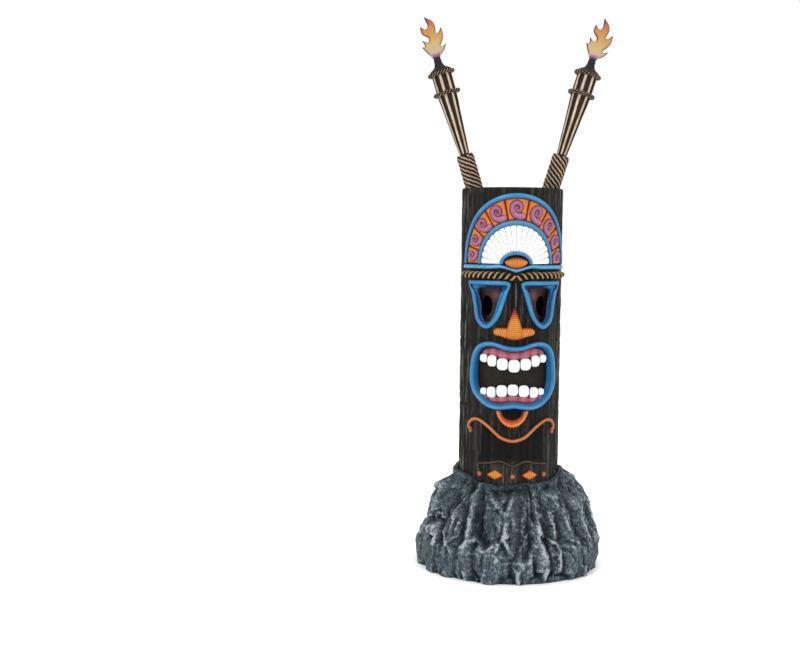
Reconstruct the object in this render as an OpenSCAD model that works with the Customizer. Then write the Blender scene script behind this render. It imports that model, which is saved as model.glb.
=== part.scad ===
// Carved tiki totem with two lift-out torches, standing in a moulded rock base.
// Millimetres. The log's centre line is the Z axis, the floor is Z = 0 and the
// face looks along -Y. "Along the face" lengths are arc lengths round the log,
// measured from the middle of the face, positive to +X.

/* [Log] */
// Outside radius of the log
log_radius = 175; // [165:1:190]
// Thickness of the log's wall
log_wall = 11; // [9:0.5:18]
// Height of the log's rim above the floor
rim_height = 1313; // [1300:1:1400]
// Depth of the top plate below the rim
plate_depth = 23; // [20:1:40]
// Thickness of the top plate
plate_thick = 7; // [5:0.5:12]

/* [Rock base] */
// Height of the shelf the log stands on
seat_height = 250; // [200:1:260]
// Largest radius of the rock
rock_radius = 335; // [318:1:380]
// Height of the rock where it meets the front of the log
rock_front = 309; // [290:1:315]
// How much higher the rock climbs at the sides
rock_climb = 32; // [0:1:50]
// Radius of the board that closes the rock from below
board_radius = 297; // [260:1:297]
// Thickness of that board
board_thick = 15; // [10:0.5:22]

/* [Headdress] */
// Height of the line the arches spring from
arch_base = 1056; // [1050:1:1062]
// Half width of the outer arch
arch_half = 208; // [190:1:212]
// Rise of the outer arch above its base
arch_rise = 237; // [200:1:245]
// Width of the two blue bands
band_width = 15; // [9:0.5:18]
// Half width of the inner arch
inner_half = 137; // [125:1:145]
// Rise of the inner arch above its base
inner_rise = 147; // [135:1:155]
// How far the bands stand out of the log
band_height = 9; // [6:0.5:14]
// How far the tiles stand out of the log
tile_height = 5; // [3:0.5:8]
// How far the spirals stand out of their tiles
spiral_height = 5; // [3:0.5:8]
// Ribs in the white fan
rib_count = 18; // [12:1:24]
// Half width of the small arch over the gem
gem_arch_half = 56; // [50:1:64]
// Rise of the small arch over the gem
gem_arch_rise = 43; // [38:1:50]
// Half width of the gem
gem_half = 38; // [30:1:38]
// How far the gem stands out of the log
gem_height = 16; // [9:0.5:22]

/* [Brow] */
// How far the brow reaches round the log each way
brow_reach = 214; // [150:1:230]
// Thickness of the twisted rope under the brow
rope_thick = 24; // [14:0.5:25]
// Height of the rope above the floor at the sides
rope_level = 1019; // [1017:0.5:1021]

/* [Eyes and nose] */
// Distance of each eye from the middle, along the face
eye_offset = 102; // [100:0.5:108]
// Width of the blue eye frames
eye_frame_width = 17; // [15:0.5:22]
// How far the eye frames stand out of the log
eye_frame_height = 10; // [6:0.5:15]
// Depth of the eye sockets
socket_depth = 38; // [20:1:50]
// Distance of each pupil from the middle, straight across
pupil_offset = 92.5; // [84:0.5:96]
// Half width of each pupil
pupil_half = 16.5; // [10:0.5:20]
// How far the nose stands out of the log
nose_height = 34; // [22:1:46]

/* [Mouth] */
// Width of the blue mouth frame
mouth_frame_width = 16; // [13:0.5:20]
// How far the mouth frame stands out of the log
mouth_frame_height = 11; // [7:0.5:16]
// Depth of the mouth behind the log's surface
mouth_depth = 25; // [18:1:34]
// How far the teeth stand out of the back of the mouth
tooth_height = 21; // [12:1:24]
// How far the gums stand out of the back of the mouth
gum_height = 12; // [6:1:16]

/* [Carving below the mouth] */
// Width of the curling beard scroll
scroll_width = 16; // [8:0.5:18]
// How far the chin and beard carvings stand out
carving_height = 7; // [4:0.5:12]
// Depth of the sunk panel under the scroll
panel_depth = 4; // [2:0.5:6]
// Radius of the round studs along the hem
stud_radius = 10; // [6:0.5:13]

/* [Torches] */
// Lean of each torch away from the middle
torch_tilt = 17; // [10:0.5:17]
// Distance of each torch from the middle at plate level
torch_offset = 122.7; // [100:0.5:123]
// Radius of the pole
pole_radius = 18; // [14:0.5:18]
// Depth of the pole inside its socket
pole_depth = 88; // [60:1:110]
// Turns of rope on the grip
grip_turns = 9; // [6:1:9]
// Radius of the widest part of the basket
basket_radius = 35.5; // [30:0.5:36]
// Staves round each basket
stave_count = 8; // [6:1:10]
// Thickness of the rope rings
ring_thick = 12; // [8:0.5:14]
// Thickness of the flame
flame_thick = 20; // [14:1:24]

/* [Fits] */
// Gap between pieces fixed beside each other
gap = 0.5; // [0.4:0.1:0.8]
// Gap round each pole in its socket
socket_gap = 0.4; // [0.35:0.05:1]

/* [Hidden] */
$fn = 96;
plate_top = rim_height - plate_depth;
face_radius = log_radius + 3;
skin_radius = log_radius + gap;

log_z = rim_height - 1313;

// Levels along a torch's own axis, from the plate-level pivot.
pivot_height = 1282 + log_z;
grip_bottom = 23;
grip_top = 155;
basket_bottom = 158;
basket_mid = 375;
basket_top = 452;
neck_top = 498;
liner_wall = 2.5;

// ---- shared geometry -------------------------------------------------------

// Degrees round the log for a length along the face.
function around(s) = s / face_radius * 180 / PI;
// Point at length s along the face, height z, and radius r from the axis.
function on_log(s, z, r) = [r * sin(around(s)), -r * cos(around(s)), z];
function mix(a, b, f) = a + (b - a) * f;

// One cross-section from edge a (left of the travel) to edge b, both [s, z]:
// front points at fractions f and radii r, back points at radius back.
function strip(a, b, f, r, back) = concat(
  [for (i = [0 : len(f) - 1]) let (p = mix(a, b, f[i])) on_log(p.x, p.y, r[i])],
  [for (i = [len(f) - 1 : -1 : 0]) let (p = mix(a, b, f[i])) on_log(p.x, p.y, back)]);

// Solid through a row of cross-sections, each clockwise seen along the travel.
module skin(sections, closed = false) {
  m = len(sections);
  n = len(sections[0]);
  sides = [for (i = [0 : (closed ? m : m - 1) - 1], j = [0 : n - 1])
    let (a = i * n + j, b = i * n + (j + 1) % n,
         c = (i + 1) % m * n + (j + 1) % n, d = (i + 1) % m * n + j)
    each [[a, d, c], [a, c, b]]];
  half = n / 2 - 1;
  start = [for (i = [0 : half - 1]) each [[i, i + 1, n - 2 - i], [i, n - 2 - i, n - 1 - i]]];
  e = (m - 1) * n;
  finish = [for (t = start) [e + t[2], e + t[1], e + t[0]]];
  polyhedron([for (s = sections) each s], closed ? sides : concat(sides, start, finish));
}

// Outline mirrored to the other side of the face, still clockwise.
function mirrored(p) = [for (i = [len(p) - 1 : -1 : 0]) [-p[i].x, p[i].y]];
function for_side(p, side) = side > 0 ? p : mirrored(p);
// Clockwise closed outline moved d to its inside.
function inset(p, d) = [for (i = [0 : len(p) - 1])
  let (n = len(p), t = p[(i + 1) % n] - p[(i + n - 1) % n])
  p[i] + d * [t.y, -t.x] / norm(t)];
// Twice as many points along a smooth curve.
function knot(p, i, closed) = closed ? p[(i + len(p)) % len(p)] : p[max(0, min(len(p) - 1, i))];
function smooth(p, closed = false) = [for (i = [0 : len(p) - (closed ? 1 : 2)])
  each [p[i], (9 * (knot(p, i, closed) + knot(p, i + 1, closed))
    - knot(p, i - 1, closed) - knot(p, i + 2, closed)) / 16],
  if (!closed) p[len(p) - 1]];

// Point on an arch: t degrees from the top of a half ellipse on the arch base.
function arch_point(half, rise, t) = [half * sin(t), arch_base + gap + rise * cos(t)];
// The same by its direction seen from the middle of the arch base.
function arch_toward(half, rise, angle) =
  arch_point(half, rise, abs(angle) >= 90 ? sign(angle) * 90 : atan(tan(angle) * rise / half));

// Raised band along a half ellipse, its outer edge at half and rise.
module arch_band(half, rise, width, height, steps = 36) {
  f = [0, 0.22, 0.78, 1];
  r = [for (k = f) skin_radius + height * (k > 0 && k < 1 ? 1 : 0.45)];
  skin([for (i = [0 : steps]) let (t = -90 + 180 * i / steps)
    strip(arch_point(half, rise, t), arch_point(half - width, rise - width, t),
      f, r, skin_radius)]);
}
// Ring round the Z axis.
module tube(outer, inner, bottom, top) {
  difference() {
    translate([0, 0, bottom]) cylinder(r = outer, h = top - bottom);
    translate([0, 0, bottom - 1]) cylinder(r = inner, h = top - bottom + 2);
  }
}
// Prism pointing forward through an outline given as [s, z] points.
module forward_prism(outline, radius) {
  rotate([90, 0, 0]) linear_extrude(height = log_radius + 20)
    polygon([for (p = outline) [radius * sin(around(p.x)), p.y]]);
}

// ---- rock base ---------------------------------------------------------------

// Outer radius of the rock at each height, as shares of its largest radius.
rock_sides = [[1, 0.585], [0.93, 0.635], [0.856, 0.69], [0.75, 0.745], [0.65, 0.79],
  [0.54, 0.81], [0.45, 0.845], [0.37, 0.9], [0.29, 0.97], [0.2, 1], [0.1, 1], [0, 0.96]];
rock_sections = 48;
// Buttresses and creases that run down the rock.
function buttress(a, k) = 1 + (0.012 + 0.03 * (1 - k)) * (abs(sin(a * 4.5 + 20 * k)) - 1)
  + 0.012 * sin(a * 11 + 300 * k);
function rock_top(a) = rock_front + rock_climb * (1 - pow(cos(a / 2), 6))
  + 5 * sin(a * 5 + 40);

module rock_shell() {
  collar = log_radius + 2.5;
  color([0.38, 0.44, 0.47]) skin([for (i = [0 : rock_sections - 1])
    let (a = 360 * i / rock_sections, top = rock_top(a),
         rings = concat(
           [for (k = rock_sides) [rock_radius * k[1] * buttress(a, k[0]), top * k[0]]],
           [[board_radius + 3, 0], [board_radius + 3, board_thick],
            [board_radius - 60, board_thick], [board_radius - 60, board_thick + 12],
            [board_radius - 10, board_thick + 12], [collar + 10, seat_height - 14],
            [log_radius - 25, seat_height - 14], [log_radius - 25, seat_height],
            [collar, seat_height], [collar, top - 5]]))
    [for (p = rings) [p.x * sin(a), -p.x * cos(a), p.y]]], true);
}

module base_board() {
  color([0.30, 0.26, 0.22]) cylinder(r = board_radius, h = board_thick);
}

// ---- log ---------------------------------------------------------------------

// Clockwise outline of one eye, the eye to +X, as [s, z] round its middle.
eye_shape = [[-86, 71], [-77, 81], [-54, 84], [-12, 84], [32, 84], [73, 82], [76, 76],
  [70, 58], [61, 38], [54, 14], [48, -13], [44, -37], [37, -55], [26, -67], [13, -77],
  [-4, -81], [-20, -75], [-34, -62], [-45, -48], [-55, -27], [-63, -3], [-71, 23],
  [-80, 51]];
eye_level = 917 + log_z;
// Triangle inside that outline; the frame's inner edges lie toward it.
eye_core = [[-58, 50], [50, 52], [-4, -46]];
// Clockwise half outline of the mouth, from the top middle to the bottom middle.
mouth_shape = [[0, 107], [14, 108], [28, 110], [52, 117.5], [77, 122.5], [101, 121.5], [120, 115],
  [137, 104], [150, 86], [158.5, 63], [163.5, 37], [166, 3], [164, -22], [157, -43],
  [143, -64], [126, -80], [107, -94], [87, -103.5], [67, -108.5], [46, -109.5], [22, -106],
  [0, -103.5]];
mouth_level = 672 + log_z;
// Centre line of the beard scroll, from the middle to the curl at +X.
scroll_line = [[0, 0], [20, 3.5], [42, 12.5], [61, 28], [83, 46.5], [105.5, 60.5],
  [128.5, 68.5], [151, 64], [166, 51], [168, 37], [158, 28]];
scroll_level = 458 + log_z;
hem_level = 371 + log_z;

function nearest(p, a, b) =
  a + (b - a) * max(0, min(1, ((p - a) * (b - a)) / ((b - a) * (b - a))));
// Point p moved d toward the nearest side of a triangle.
function toward(p, core, d) = let (
    c = [for (i = [0 : 2]) nearest(p, core[i], core[(i + 1) % 3])],
    r = [for (q = c) norm(q - p)],
    best = r[0] <= min(r) ? c[0] : r[1] <= min(r) ? c[1] : c[2])
  p + d * (best - p) / norm(best - p);
function eye_outline(side, d) = for_side([for (q = smooth(eye_shape, true))
  toward(q, eye_core, d) + [eye_offset, eye_level]], side);
function mouth_outline(d) = let (n = len(mouth_shape),
    right = [for (p = mouth_shape) [p.x, p.y + mouth_level]],
    left = [for (i = [n - 2 : -1 : 1]) [-right[i].x, right[i].y]])
  inset(concat(right, left), d);

module log_shell() {
  inner = log_radius - log_wall;
  panel = concat([[-120, hem_level + 17]],
    [for (i = [7 : -1 : 1]) [-min(124, scroll_line[i].x), scroll_line[i].y + scroll_level]],
    [for (i = [0 : 7]) [min(124, scroll_line[i].x), scroll_line[i].y + scroll_level]],
    [[120, hem_level + 17]]);
  color([0.24, 0.23, 0.21]) difference() {
    translate([0, 0, seat_height]) cylinder(r = log_radius, h = rim_height - seat_height);
    translate([0, 0, seat_height - 1]) cylinder(r = inner, h = rim_height - seat_height + 2);
    translate([0, 0, plate_top - plate_thick]) cylinder(r = inner + 3, h = 200);
    for (side = [-1, 1])
      forward_prism(eye_outline(side, eye_frame_width - 2.8), log_radius);
    forward_prism(mouth_outline(mouth_frame_width * 0.65), log_radius);
    intersection() {
      tube(log_radius + 20, log_radius - panel_depth, seat_height, rim_height);
      forward_prism(panel, log_radius);
    }
  }
}

module on_torch(side) {
  translate([side * torch_offset, 0, pivot_height]) rotate([0, side * torch_tilt, 0]) children();
}
// Cylinder along a torch's axis between two levels.
module along(r, from, to) {
  translate([0, 0, from]) cylinder(r = r, h = to - from);
}

module top_plate() {
  color([0.20, 0.19, 0.18]) difference() {
    translate([0, 0, plate_top - plate_thick])
      cylinder(r = log_radius - log_wall + 2.6, h = plate_thick);
    for (side = [-1, 1]) on_torch(side) along(pole_radius + 6 + gap, -60, 60);
  }
}

module torch_socket(side) {
  bore = pole_radius + socket_gap;
  color([0.17, 0.16, 0.15]) difference() {
    union() {
      intersection() {
        on_torch(side) along(pole_radius + 6, -pole_depth - 4, 40);
        cylinder(r = 400, h = plate_top + 3);
      }
      translate([side * (torch_offset + 2.5), 0, plate_top]) cylinder(r = 32, h = 3);
    }
    on_torch(side) along(bore, -pole_depth, 60);
  }
}
module torch_socket_left() { torch_socket(-1); }
module torch_socket_right() { torch_socket(1); }

// ---- headdress ---------------------------------------------------------------

module arch_outer_band() {
  color([0.24, 0.60, 0.85]) arch_band(arch_half, arch_rise, band_width, band_height);
}
module arch_inner_band() {
  color([0.28, 0.60, 0.78]) arch_band(inner_half, inner_rise, band_width, band_height - 1);
}

// Directions of the joints between tiles, from the middle of the arch outward.
tile_joints = [-90, -72, -52.3, -32.3, -11.3, 11.3, 32.3, 52.3, 72, 90];
tile_outer = [arch_half - band_width - gap, arch_rise - band_width - gap];
tile_inner = [inner_half + gap, inner_rise + gap];

module arch_tile(k) {
  from = tile_joints[k - 1] + 0.3;
  to = tile_joints[k] - 0.3;
  f = [0, 0.1, 0.37, 0.63, 0.9, 1];
  cuts = [0, 0.1, 0.37, 0.63, 0.9, 1];
  color([0.93, 0.55, 0.17]) skin([for (c = cuts) let (a = mix(from, to, c),
      rim = c == 0 || c == 1 ? 0.5 : 1)
    strip(arch_toward(tile_outer.x, tile_outer.y, a),
      arch_toward(tile_inner.x, tile_inner.y, a), f,
      [for (k = f) skin_radius + tile_height * (k == 0 || k == 1 ? 0.5 : rim)], skin_radius)]);
}
module arch_tile_1() { arch_tile(1); }
module arch_tile_2() { arch_tile(2); }
module arch_tile_3() { arch_tile(3); }
module arch_tile_4() { arch_tile(4); }
module arch_tile_5() { arch_tile(5); }
module arch_tile_6() { arch_tile(6); }
module arch_tile_7() { arch_tile(7); }
module arch_tile_8() { arch_tile(8); }
module arch_tile_9() { arch_tile(9); }

// Snail on a tile, tail first, as [right, up, width] on the middle tile.
snail_line = [[26, -25, 20], [14, -26, 21], [1, -23.5, 20], [-10, -15, 17], [-16, -2, 14],
  [-13, 12, 12.5], [-2, 21, 12], [9, 17, 11.5], [14, 6, 10.5], [11.5, -2, 8.5], [5, -6.5, 7.5],
  [-2, -4, 6], [-3.5, 2, 5], [0.5, 5, 4]];

module tile_spirals() {
  base = skin_radius + tile_height + 0.4;
  line = smooth(snail_line);
  n = len(line) - 1;
  for (k = [1 : 9]) {
    a = (tile_joints[k - 1] + tile_joints[k]) / 2;
    outer = arch_toward(tile_outer.x, tile_outer.y, a);
    inner = arch_toward(tile_inner.x, tile_inner.y, a);
    size = norm(outer - inner) / 76;
    up = (outer - inner) / norm(outer - inner);
    right = [up.y, -up.x];
    middle = (outer + inner) / 2;
    color([0.75, 0.44, 0.60]) skin([for (i = [0 : n])
      let (p = line[i], d = line[min(n, i + 1)] - line[max(0, i - 1)],
           side = [-d.y, d.x] / norm([d.x, d.y]) * p[2] / 2,
           l = size * [p.x + side.x, p.y + side.y], r = size * [p.x - side.x, p.y - side.y])
      strip(middle + right * l.x + up * l.y, middle + right * r.x + up * r.y,
        [0, 0.5, 1], [for (h = [0.35, 1, 0.35]) base + spiral_height * h], base)]);
  }
}

module fan_ribs() {
  f = [0, 0.5, 1];
  cuts = [[0, 0.3], [0.07, 0.05], [0.36, 0], [0.64, 0], [0.93, 0.05], [1, 0.3]];
  lift = [3, 7, 3];
  color([0.95, 0.96, 0.97]) for (k = [0 : rib_count - 1]) {
    from = -90 + 180 * k / rib_count + 0.4;
    to = -90 + 180 * (k + 1) / rib_count - 0.4;
    skin([for (c = cuts) let (h = mix(gem_arch_half, inner_half - band_width, c[0]),
        v = mix(gem_arch_rise, inner_rise - band_width, c[0]), n = mix(0.7, -0.7, c[0]))
      strip(arch_point(h + n, v + n, mix(from, to, c[1])),
        arch_point(h + n, v + n, mix(to, from, c[1])), f,
        [for (l = lift) skin_radius + l * (1 - c[1])], skin_radius)]);
  }
}

module gem_arch() {
  color([0.30, 0.62, 0.84]) arch_band(gem_arch_half - 0.4, gem_arch_rise - 0.4, 13, band_height + 2, 18);
}

module forehead_gem() {
  f = [0, 0.2, 0.5, 0.8, 1];
  color([0.92, 0.50, 0.15]) skin([for (t = [-84 : 12 : 84])
    let (s = gem_half * sin(t), w = cos(t), mid = arch_base + 6)
    strip([s, mid + 21 * w], [s, mid - 17 * w - 4.5 * (1 - abs(s) / gem_half)], f,
      [for (k = [0.35, 0.85, 1, 0.85, 0.35]) skin_radius + gem_height * k * (0.4 + 0.6 * w)],
      skin_radius)]);
}

// Top and bottom edges of the brow band, as heights above the arch base.
brow_top = [[0, -16.5], [19, -13], [38, -6], [54, -1], [90, -3], [300, -3]];
brow_bottom = [[0, -30], [16, -24], [34, -18], [54, -15], [90, -18], [300, -18]];
module brow_band() {
  f = [0, 0.25, 0.75, 1];
  color([0.24, 0.60, 0.85]) skin([for (i = [0 : 32]) let (s = brow_reach * (i - 16) / 16)
    strip([s, arch_base + lookup(abs(s), brow_top)], [s, arch_base + lookup(abs(s), brow_bottom)],
      f, [for (k = [0.5, 1, 1, 0.5]) skin_radius + (band_height + 1) * k], skin_radius)]);
}

rope_dip = [[0, -12], [20, -5.5], [48, -0.5], [300, 0]];
module brow_rope() {
  r = rope_thick / 2;
  color([0.72, 0.56, 0.30]) skin([for (i = [0 : 40])
    let (s = (brow_reach - 9) * (i - 20) / 20, z = rope_level + log_z + lookup(abs(s), rope_dip),
         w = r * (abs(i - 20) == 20 ? 0.6 : 1))
    [for (a = [0 : 45 : 315]) on_log(s, z + w * cos(a), skin_radius + r + w * sin(a))]]);
}

// ---- eyes and nose -----------------------------------------------------------

// Raised frame between a closed outline and the same outline moved inward.
module outline_frame(outer, inner, height) {
  f = [0, 0.22, 0.78, 1];
  skin([for (i = [0 : len(outer) - 1])
    strip(outer[i], inner[i], f, [for (k = [0.45, 1, 1, 0.6]) skin_radius + height * k],
      skin_radius)], true);
}
module eye_frame(side) {
  color([0.24, 0.60, 0.85])
    outline_frame(eye_outline(side, 0), eye_outline(side, eye_frame_width), eye_frame_height);
}
module eye_frame_left() { eye_frame(-1); }
module eye_frame_right() { eye_frame(1); }

// Cup behind an eye: straight walls and a floor that curves less than the log.
module eye_socket(side) {
  floor_radius = log_radius + 15;
  floor_centre = floor_radius - (log_radius - socket_depth - 7);
  module behind(r) {
    translate([0, floor_centre, eye_level - 200]) cylinder(r = r, h = 400);
  }
  color([0.36, 0.20, 0.15]) difference() {
    intersection() {
      translate([0, 0, eye_level - 150]) cylinder(r = log_radius + 0.2, h = 300);
      forward_prism(eye_outline(side, eye_frame_width - 2.4), log_radius);
    }
    behind(floor_radius - 4);
    difference() {
      forward_prism(eye_outline(side, eye_frame_width + 1.2), log_radius);
      behind(floor_radius);
    }
    rotate([90, 0, 0]) linear_extrude(height = log_radius) polygon([for (a = [0 : 15 : 345])
      [side * pupil_offset + pupil_half * sin(a), eye_level + 2 * pupil_half * cos(a)]]);
  }
}
module eye_socket_left() { eye_socket(-1); }
module eye_socket_right() { eye_socket(1); }

// Half width and height of the nose down its length, as [z, half width, rise].
nose_profile = [[914, 6, 0.35], [890, 13, 0.55], [870, 19, 0.8], [852, 25, 0.95],
  [844, 47, 1], [836, 64, 1], [829, 69, 1], [820, 60, 0.95], [812, 43, 0.8], [805, 22, 0.5]];
bridge_profile = [[990, 8, 0.2], [970, 10, 0.25], [940, 9, 0.3], [915, 7, 0.33]];
// Rounded cross-sections across the face; the travel is downward, so the
// left of the travel is +X.
module across_face(profile) {
  f = [0, 0.12, 0.3, 0.5, 0.7, 0.88, 1];
  rise = [0.1, 0.45, 0.8, 1, 0.8, 0.45, 0.1];
  skin([for (p = profile) strip([p[1], p[0] + log_z], [-p[1], p[0] + log_z], f,
    [for (k = rise) skin_radius + nose_height * p[2] * k], skin_radius)]);
}
module nose() { color([0.94, 0.58, 0.20]) across_face(nose_profile); }
module nose_bridge() { color([0.27, 0.26, 0.23]) across_face(bridge_profile); }

// ---- mouth -------------------------------------------------------------------

back_radius = log_radius - mouth_depth;
// The mouth's side walls open out this much toward the back.
mouth_flare = 1.09;

module mouth_frame() {
  outer = mouth_outline(0);
  inner = mouth_outline(mouth_frame_width);
  color([0.24, 0.60, 0.85]) skin([for (i = [0 : len(outer) - 1])
    let (o = outer[i], n = inner[i], lip = mix(o, n, 0.78), a = mix(o, n, 0.2),
         b = mix(o, n, 0.82), h = mouth_frame_height)
    [on_log(o.x, o.y, skin_radius + h * 0.45), on_log(a.x, a.y, skin_radius + h),
     on_log(b.x, b.y, skin_radius + h), on_log(n.x, n.y, skin_radius + h * 0.6),
     on_log(n.x * mouth_flare, n.y, back_radius),
     on_log(lip.x * mouth_flare, lip.y, back_radius),
     on_log(lip.x, lip.y, skin_radius), on_log(o.x, o.y, skin_radius)]], true);
}

module mouth_back() {
  color([0.12, 0.09, 0.09]) intersection() {
    tube(back_radius - 0.8, back_radius - 4.8, mouth_level - 150, mouth_level + 150);
    forward_prism([for (p = mouth_outline(mouth_frame_width * 0.85))
      [p.x * mouth_flare, p.y]], back_radius);
  }
}

// Gum edges by distance from the middle, as heights from the mouth's middle.
upper_gum_top = [[0, 90], [28, 92], [53, 98.5], [78, 103], [99, 101.5], [112, 96.5], [122, 90],
  [133, 79.5]];
upper_gum_bottom = [[0, 59], [20, 59], [23, 65.5], [64, 65.5], [66, 76], [101, 77], [133, 77.7]];
lower_gum_top = [[0, -62.5], [19, -62.5], [21.5, -67.5], [60.5, -67.5], [63, -71.5], [98.5, -71.5],
  [100.5, -61.5], [117, -61.5]];
lower_gum_bottom = [[0, -85.5], [14, -85.5], [38, -88.5], [64, -89.5], [83, -86], [98, -79],
  [112, -71], [117, -67.5]];
upper_cuts = [0, 20, 23, 38, 64, 66, 78, 101, 112, 122, 133];
lower_cuts = [0, 19, 21.5, 38, 60.5, 63, 83, 98.5, 100.5, 112, 117];

module gum(top, bottom, cuts) {
  f = [0, 0.25, 0.75, 1];
  both = concat([for (i = [len(cuts) - 1 : -1 : 1]) -cuts[i]], cuts);
  color([0.78, 0.38, 0.47]) skin([for (s = both)
    strip([s, mouth_level + lookup(abs(s), top)], [s, mouth_level + lookup(abs(s), bottom)],
      f, [for (k = [0.6, 1, 1, 0.7]) back_radius + gum_height * k], back_radius)]);
}
module upper_gum() { gum(upper_gum_top, upper_gum_bottom, upper_cuts); }
module lower_gum() { gum(lower_gum_top, lower_gum_bottom, lower_cuts); }

// Teeth as [left, right, top, bottom], the middle one and those to +X.
upper_row = [[-21.5, 21.5, 58, 17], [23, 64, 64, 24], [66, 101, 74.5, 35], [103, 133, 76, 48]];
lower_row = [[-19, 19, -24, -61], [21.5, 60.5, -27, -66], [63, 98.5, -34, -70],
  [100.5, 123, -39, -60]];
module tooth(left, right, top, bottom) {
  f = [0, 0.14, 0.86, 1];
  cuts = [[0, 0.1, 0.6], [0.14, 0.01, 1], [0.5, 0, 1.04], [0.86, 0.01, 1], [1, 0.1, 0.6]];
  color([0.96, 0.96, 0.94]) skin([for (c = cuts)
    let (s = mix(left, right, c[0]), inward = (top - bottom) * c[1])
    strip([s, mouth_level + top - inward], [s, mouth_level + bottom + inward], f,
      [for (k = [0.65, 1, 1, 0.65]) back_radius + tooth_height * min(k, c[2])], back_radius)]);
}
module tooth_row(row) {
  for (t = row) {
    tooth(t[0], t[1], t[2], t[3]);
    if (t[0] > 0) tooth(-t[1], -t[0], t[2], t[3]);
  }
}
module upper_teeth() { tooth_row(upper_row); }
module lower_teeth() { tooth_row(lower_row); }

// ---- chin, beard and hem -----------------------------------------------------

// Crescent half as pairs of inner and outer edge points, heights from its top.
crescent = [[[-38, 0], [-56, 0]], [[-33, -11], [-49, -17]], [[-25, -21], [-37, -34]],
  [[-13, -26.5], [-20, -49]], [[0, -28], [0, -54.5]]];
module chin_crescent() {
  top = 559.5 + log_z;
  whole = concat(crescent, [for (i = [3 : -1 : 0])
    [[-crescent[i][0].x, crescent[i][0].y], [-crescent[i][1].x, crescent[i][1].y]]]);
  color([0.94, 0.62, 0.22]) skin([for (p = whole)
    strip([p[0].x * 0.98, top + p[0].y], [p[1].x * 0.9, top + p[1].y], [0, 0.25, 0.75, 1],
      [for (k = [0.3, 0.9, 1, 0.5]) skin_radius + carving_height * k], skin_radius)]);
}

// Raised line along a path of [s, z] points, width w at each point.
module raised_line(path, w, height) {
  n = len(path) - 1;
  skin([for (i = [0 : n])
    let (t = path[min(n, i + 1)] - path[max(0, i - 1)], side = [-t.y, t.x] / norm(t) * w[i] / 2,
         h = skin_radius + height * (i == 0 || i == n ? 0.5 : 1), e = skin_radius + height * 0.4)
    strip(path[i] + side, path[i] - side, [0, 0.28, 0.72, 1], [e, h, h, e], skin_radius)]);
}
module beard_scroll() {
  half = smooth([for (p = scroll_line) [p.x, p.y + scroll_level]]);
  n = len(half) - 1;
  path = concat([for (i = [n : -1 : 1]) [-half[i].x, half[i].y]], half);
  w = [for (i = [0 : 2 * n]) scroll_width * (abs(i - n) > n - 2 ? 1.45 : 1)];
  color([0.85, 0.52, 0.22]) raised_line(path, w, carving_height);
}

// Wavy ridge between the panel and the hem, from the middle to +X.
ridge_line = [[0, 0], [17, 6.5], [33, 14], [52, 16], [75, 10], [95, 7], [112, 4.5], [125, 3]];
module hem_ridge() {
  half = smooth([for (p = ridge_line) [p.x, p.y + hem_level]]);
  n = len(half) - 1;
  path = concat([for (i = [n : -1 : 1]) [-half[i].x, half[i].y]], half);
  color([0.34, 0.32, 0.29]) raised_line(path, [for (p = path) 7], 5);
}

module hem_diamonds() {
  mid = hem_level - 32;
  color([0.93, 0.55, 0.14]) for (side = [-1, 1]) skin([for (s = [-30.5, -15, 0, 15, 30.5])
    let (w = 18 * (1 - abs(s) / 31.5))
    strip([side * 61 + s, mid + w], [side * 61 + s, mid - w], [0, 0.3, 0.7, 1],
      [for (k = [0.5, 1, 1, 0.5]) skin_radius + 5 * k], skin_radius)]);
}
module hem_studs() {
  color([0.92, 0.52, 0.24]) for (s = [-120, 0, 120])
    rotate([0, 0, around(s)]) translate([0, -log_radius - 5, hem_level - (s == 0 ? 36 : 34)])
      rotate([90, 0, 0]) difference() {
        translate([0, 0, -5]) cylinder(r = stud_radius, h = 10);
        rotate([-90, 0, 0]) translate([0, log_radius + 5, -50])
          cylinder(r = skin_radius, h = 100);
      }
}

// ---- torches -----------------------------------------------------------------

module torch_core(side) {
  color([0.16, 0.13, 0.11]) on_torch(side) rotate_extrude() polygon([
    [0, -pole_depth], [pole_radius, -pole_depth], [pole_radius, grip_top + 1],
    [basket_radius * 0.40, grip_top + 2], [basket_radius * 0.40, basket_bottom + 2],
    [basket_radius - 4, basket_mid], [basket_radius - 4, basket_top - 12],
    [basket_radius - 4 - liner_wall, basket_top - 12],
    [basket_radius - 4 - liner_wall, basket_mid],
    [basket_radius * 0.40 - liner_wall, basket_bottom + 18], [0, basket_bottom + 18]]);
}
module torch_core_left() { torch_core(-1); }
module torch_core_right() { torch_core(1); }

// Levels of each stave as [level, outer radius, half width].
stave_levels = [[basket_bottom, basket_radius * 0.52, 3.6], [basket_mid, basket_radius, 6],
  [basket_top, basket_radius, 6]];
module torch_staves(side) {
  color([0.86, 0.74, 0.56]) on_torch(side) for (k = [0 : stave_count - 1])
    rotate([0, 0, 360 / stave_count * (k + 0.5)]) skin([for (l = stave_levels)
      let (x = sqrt(l[1] * l[1] - l[2] * l[2]))
      [[x - 3.2, -l[2], l[0]], [x, -l[2], l[0]], [x, l[2], l[0]], [x - 3.2, l[2], l[0]]]]);
}
module torch_staves_left() { torch_staves(-1); }
module torch_staves_right() { torch_staves(1); }

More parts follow.
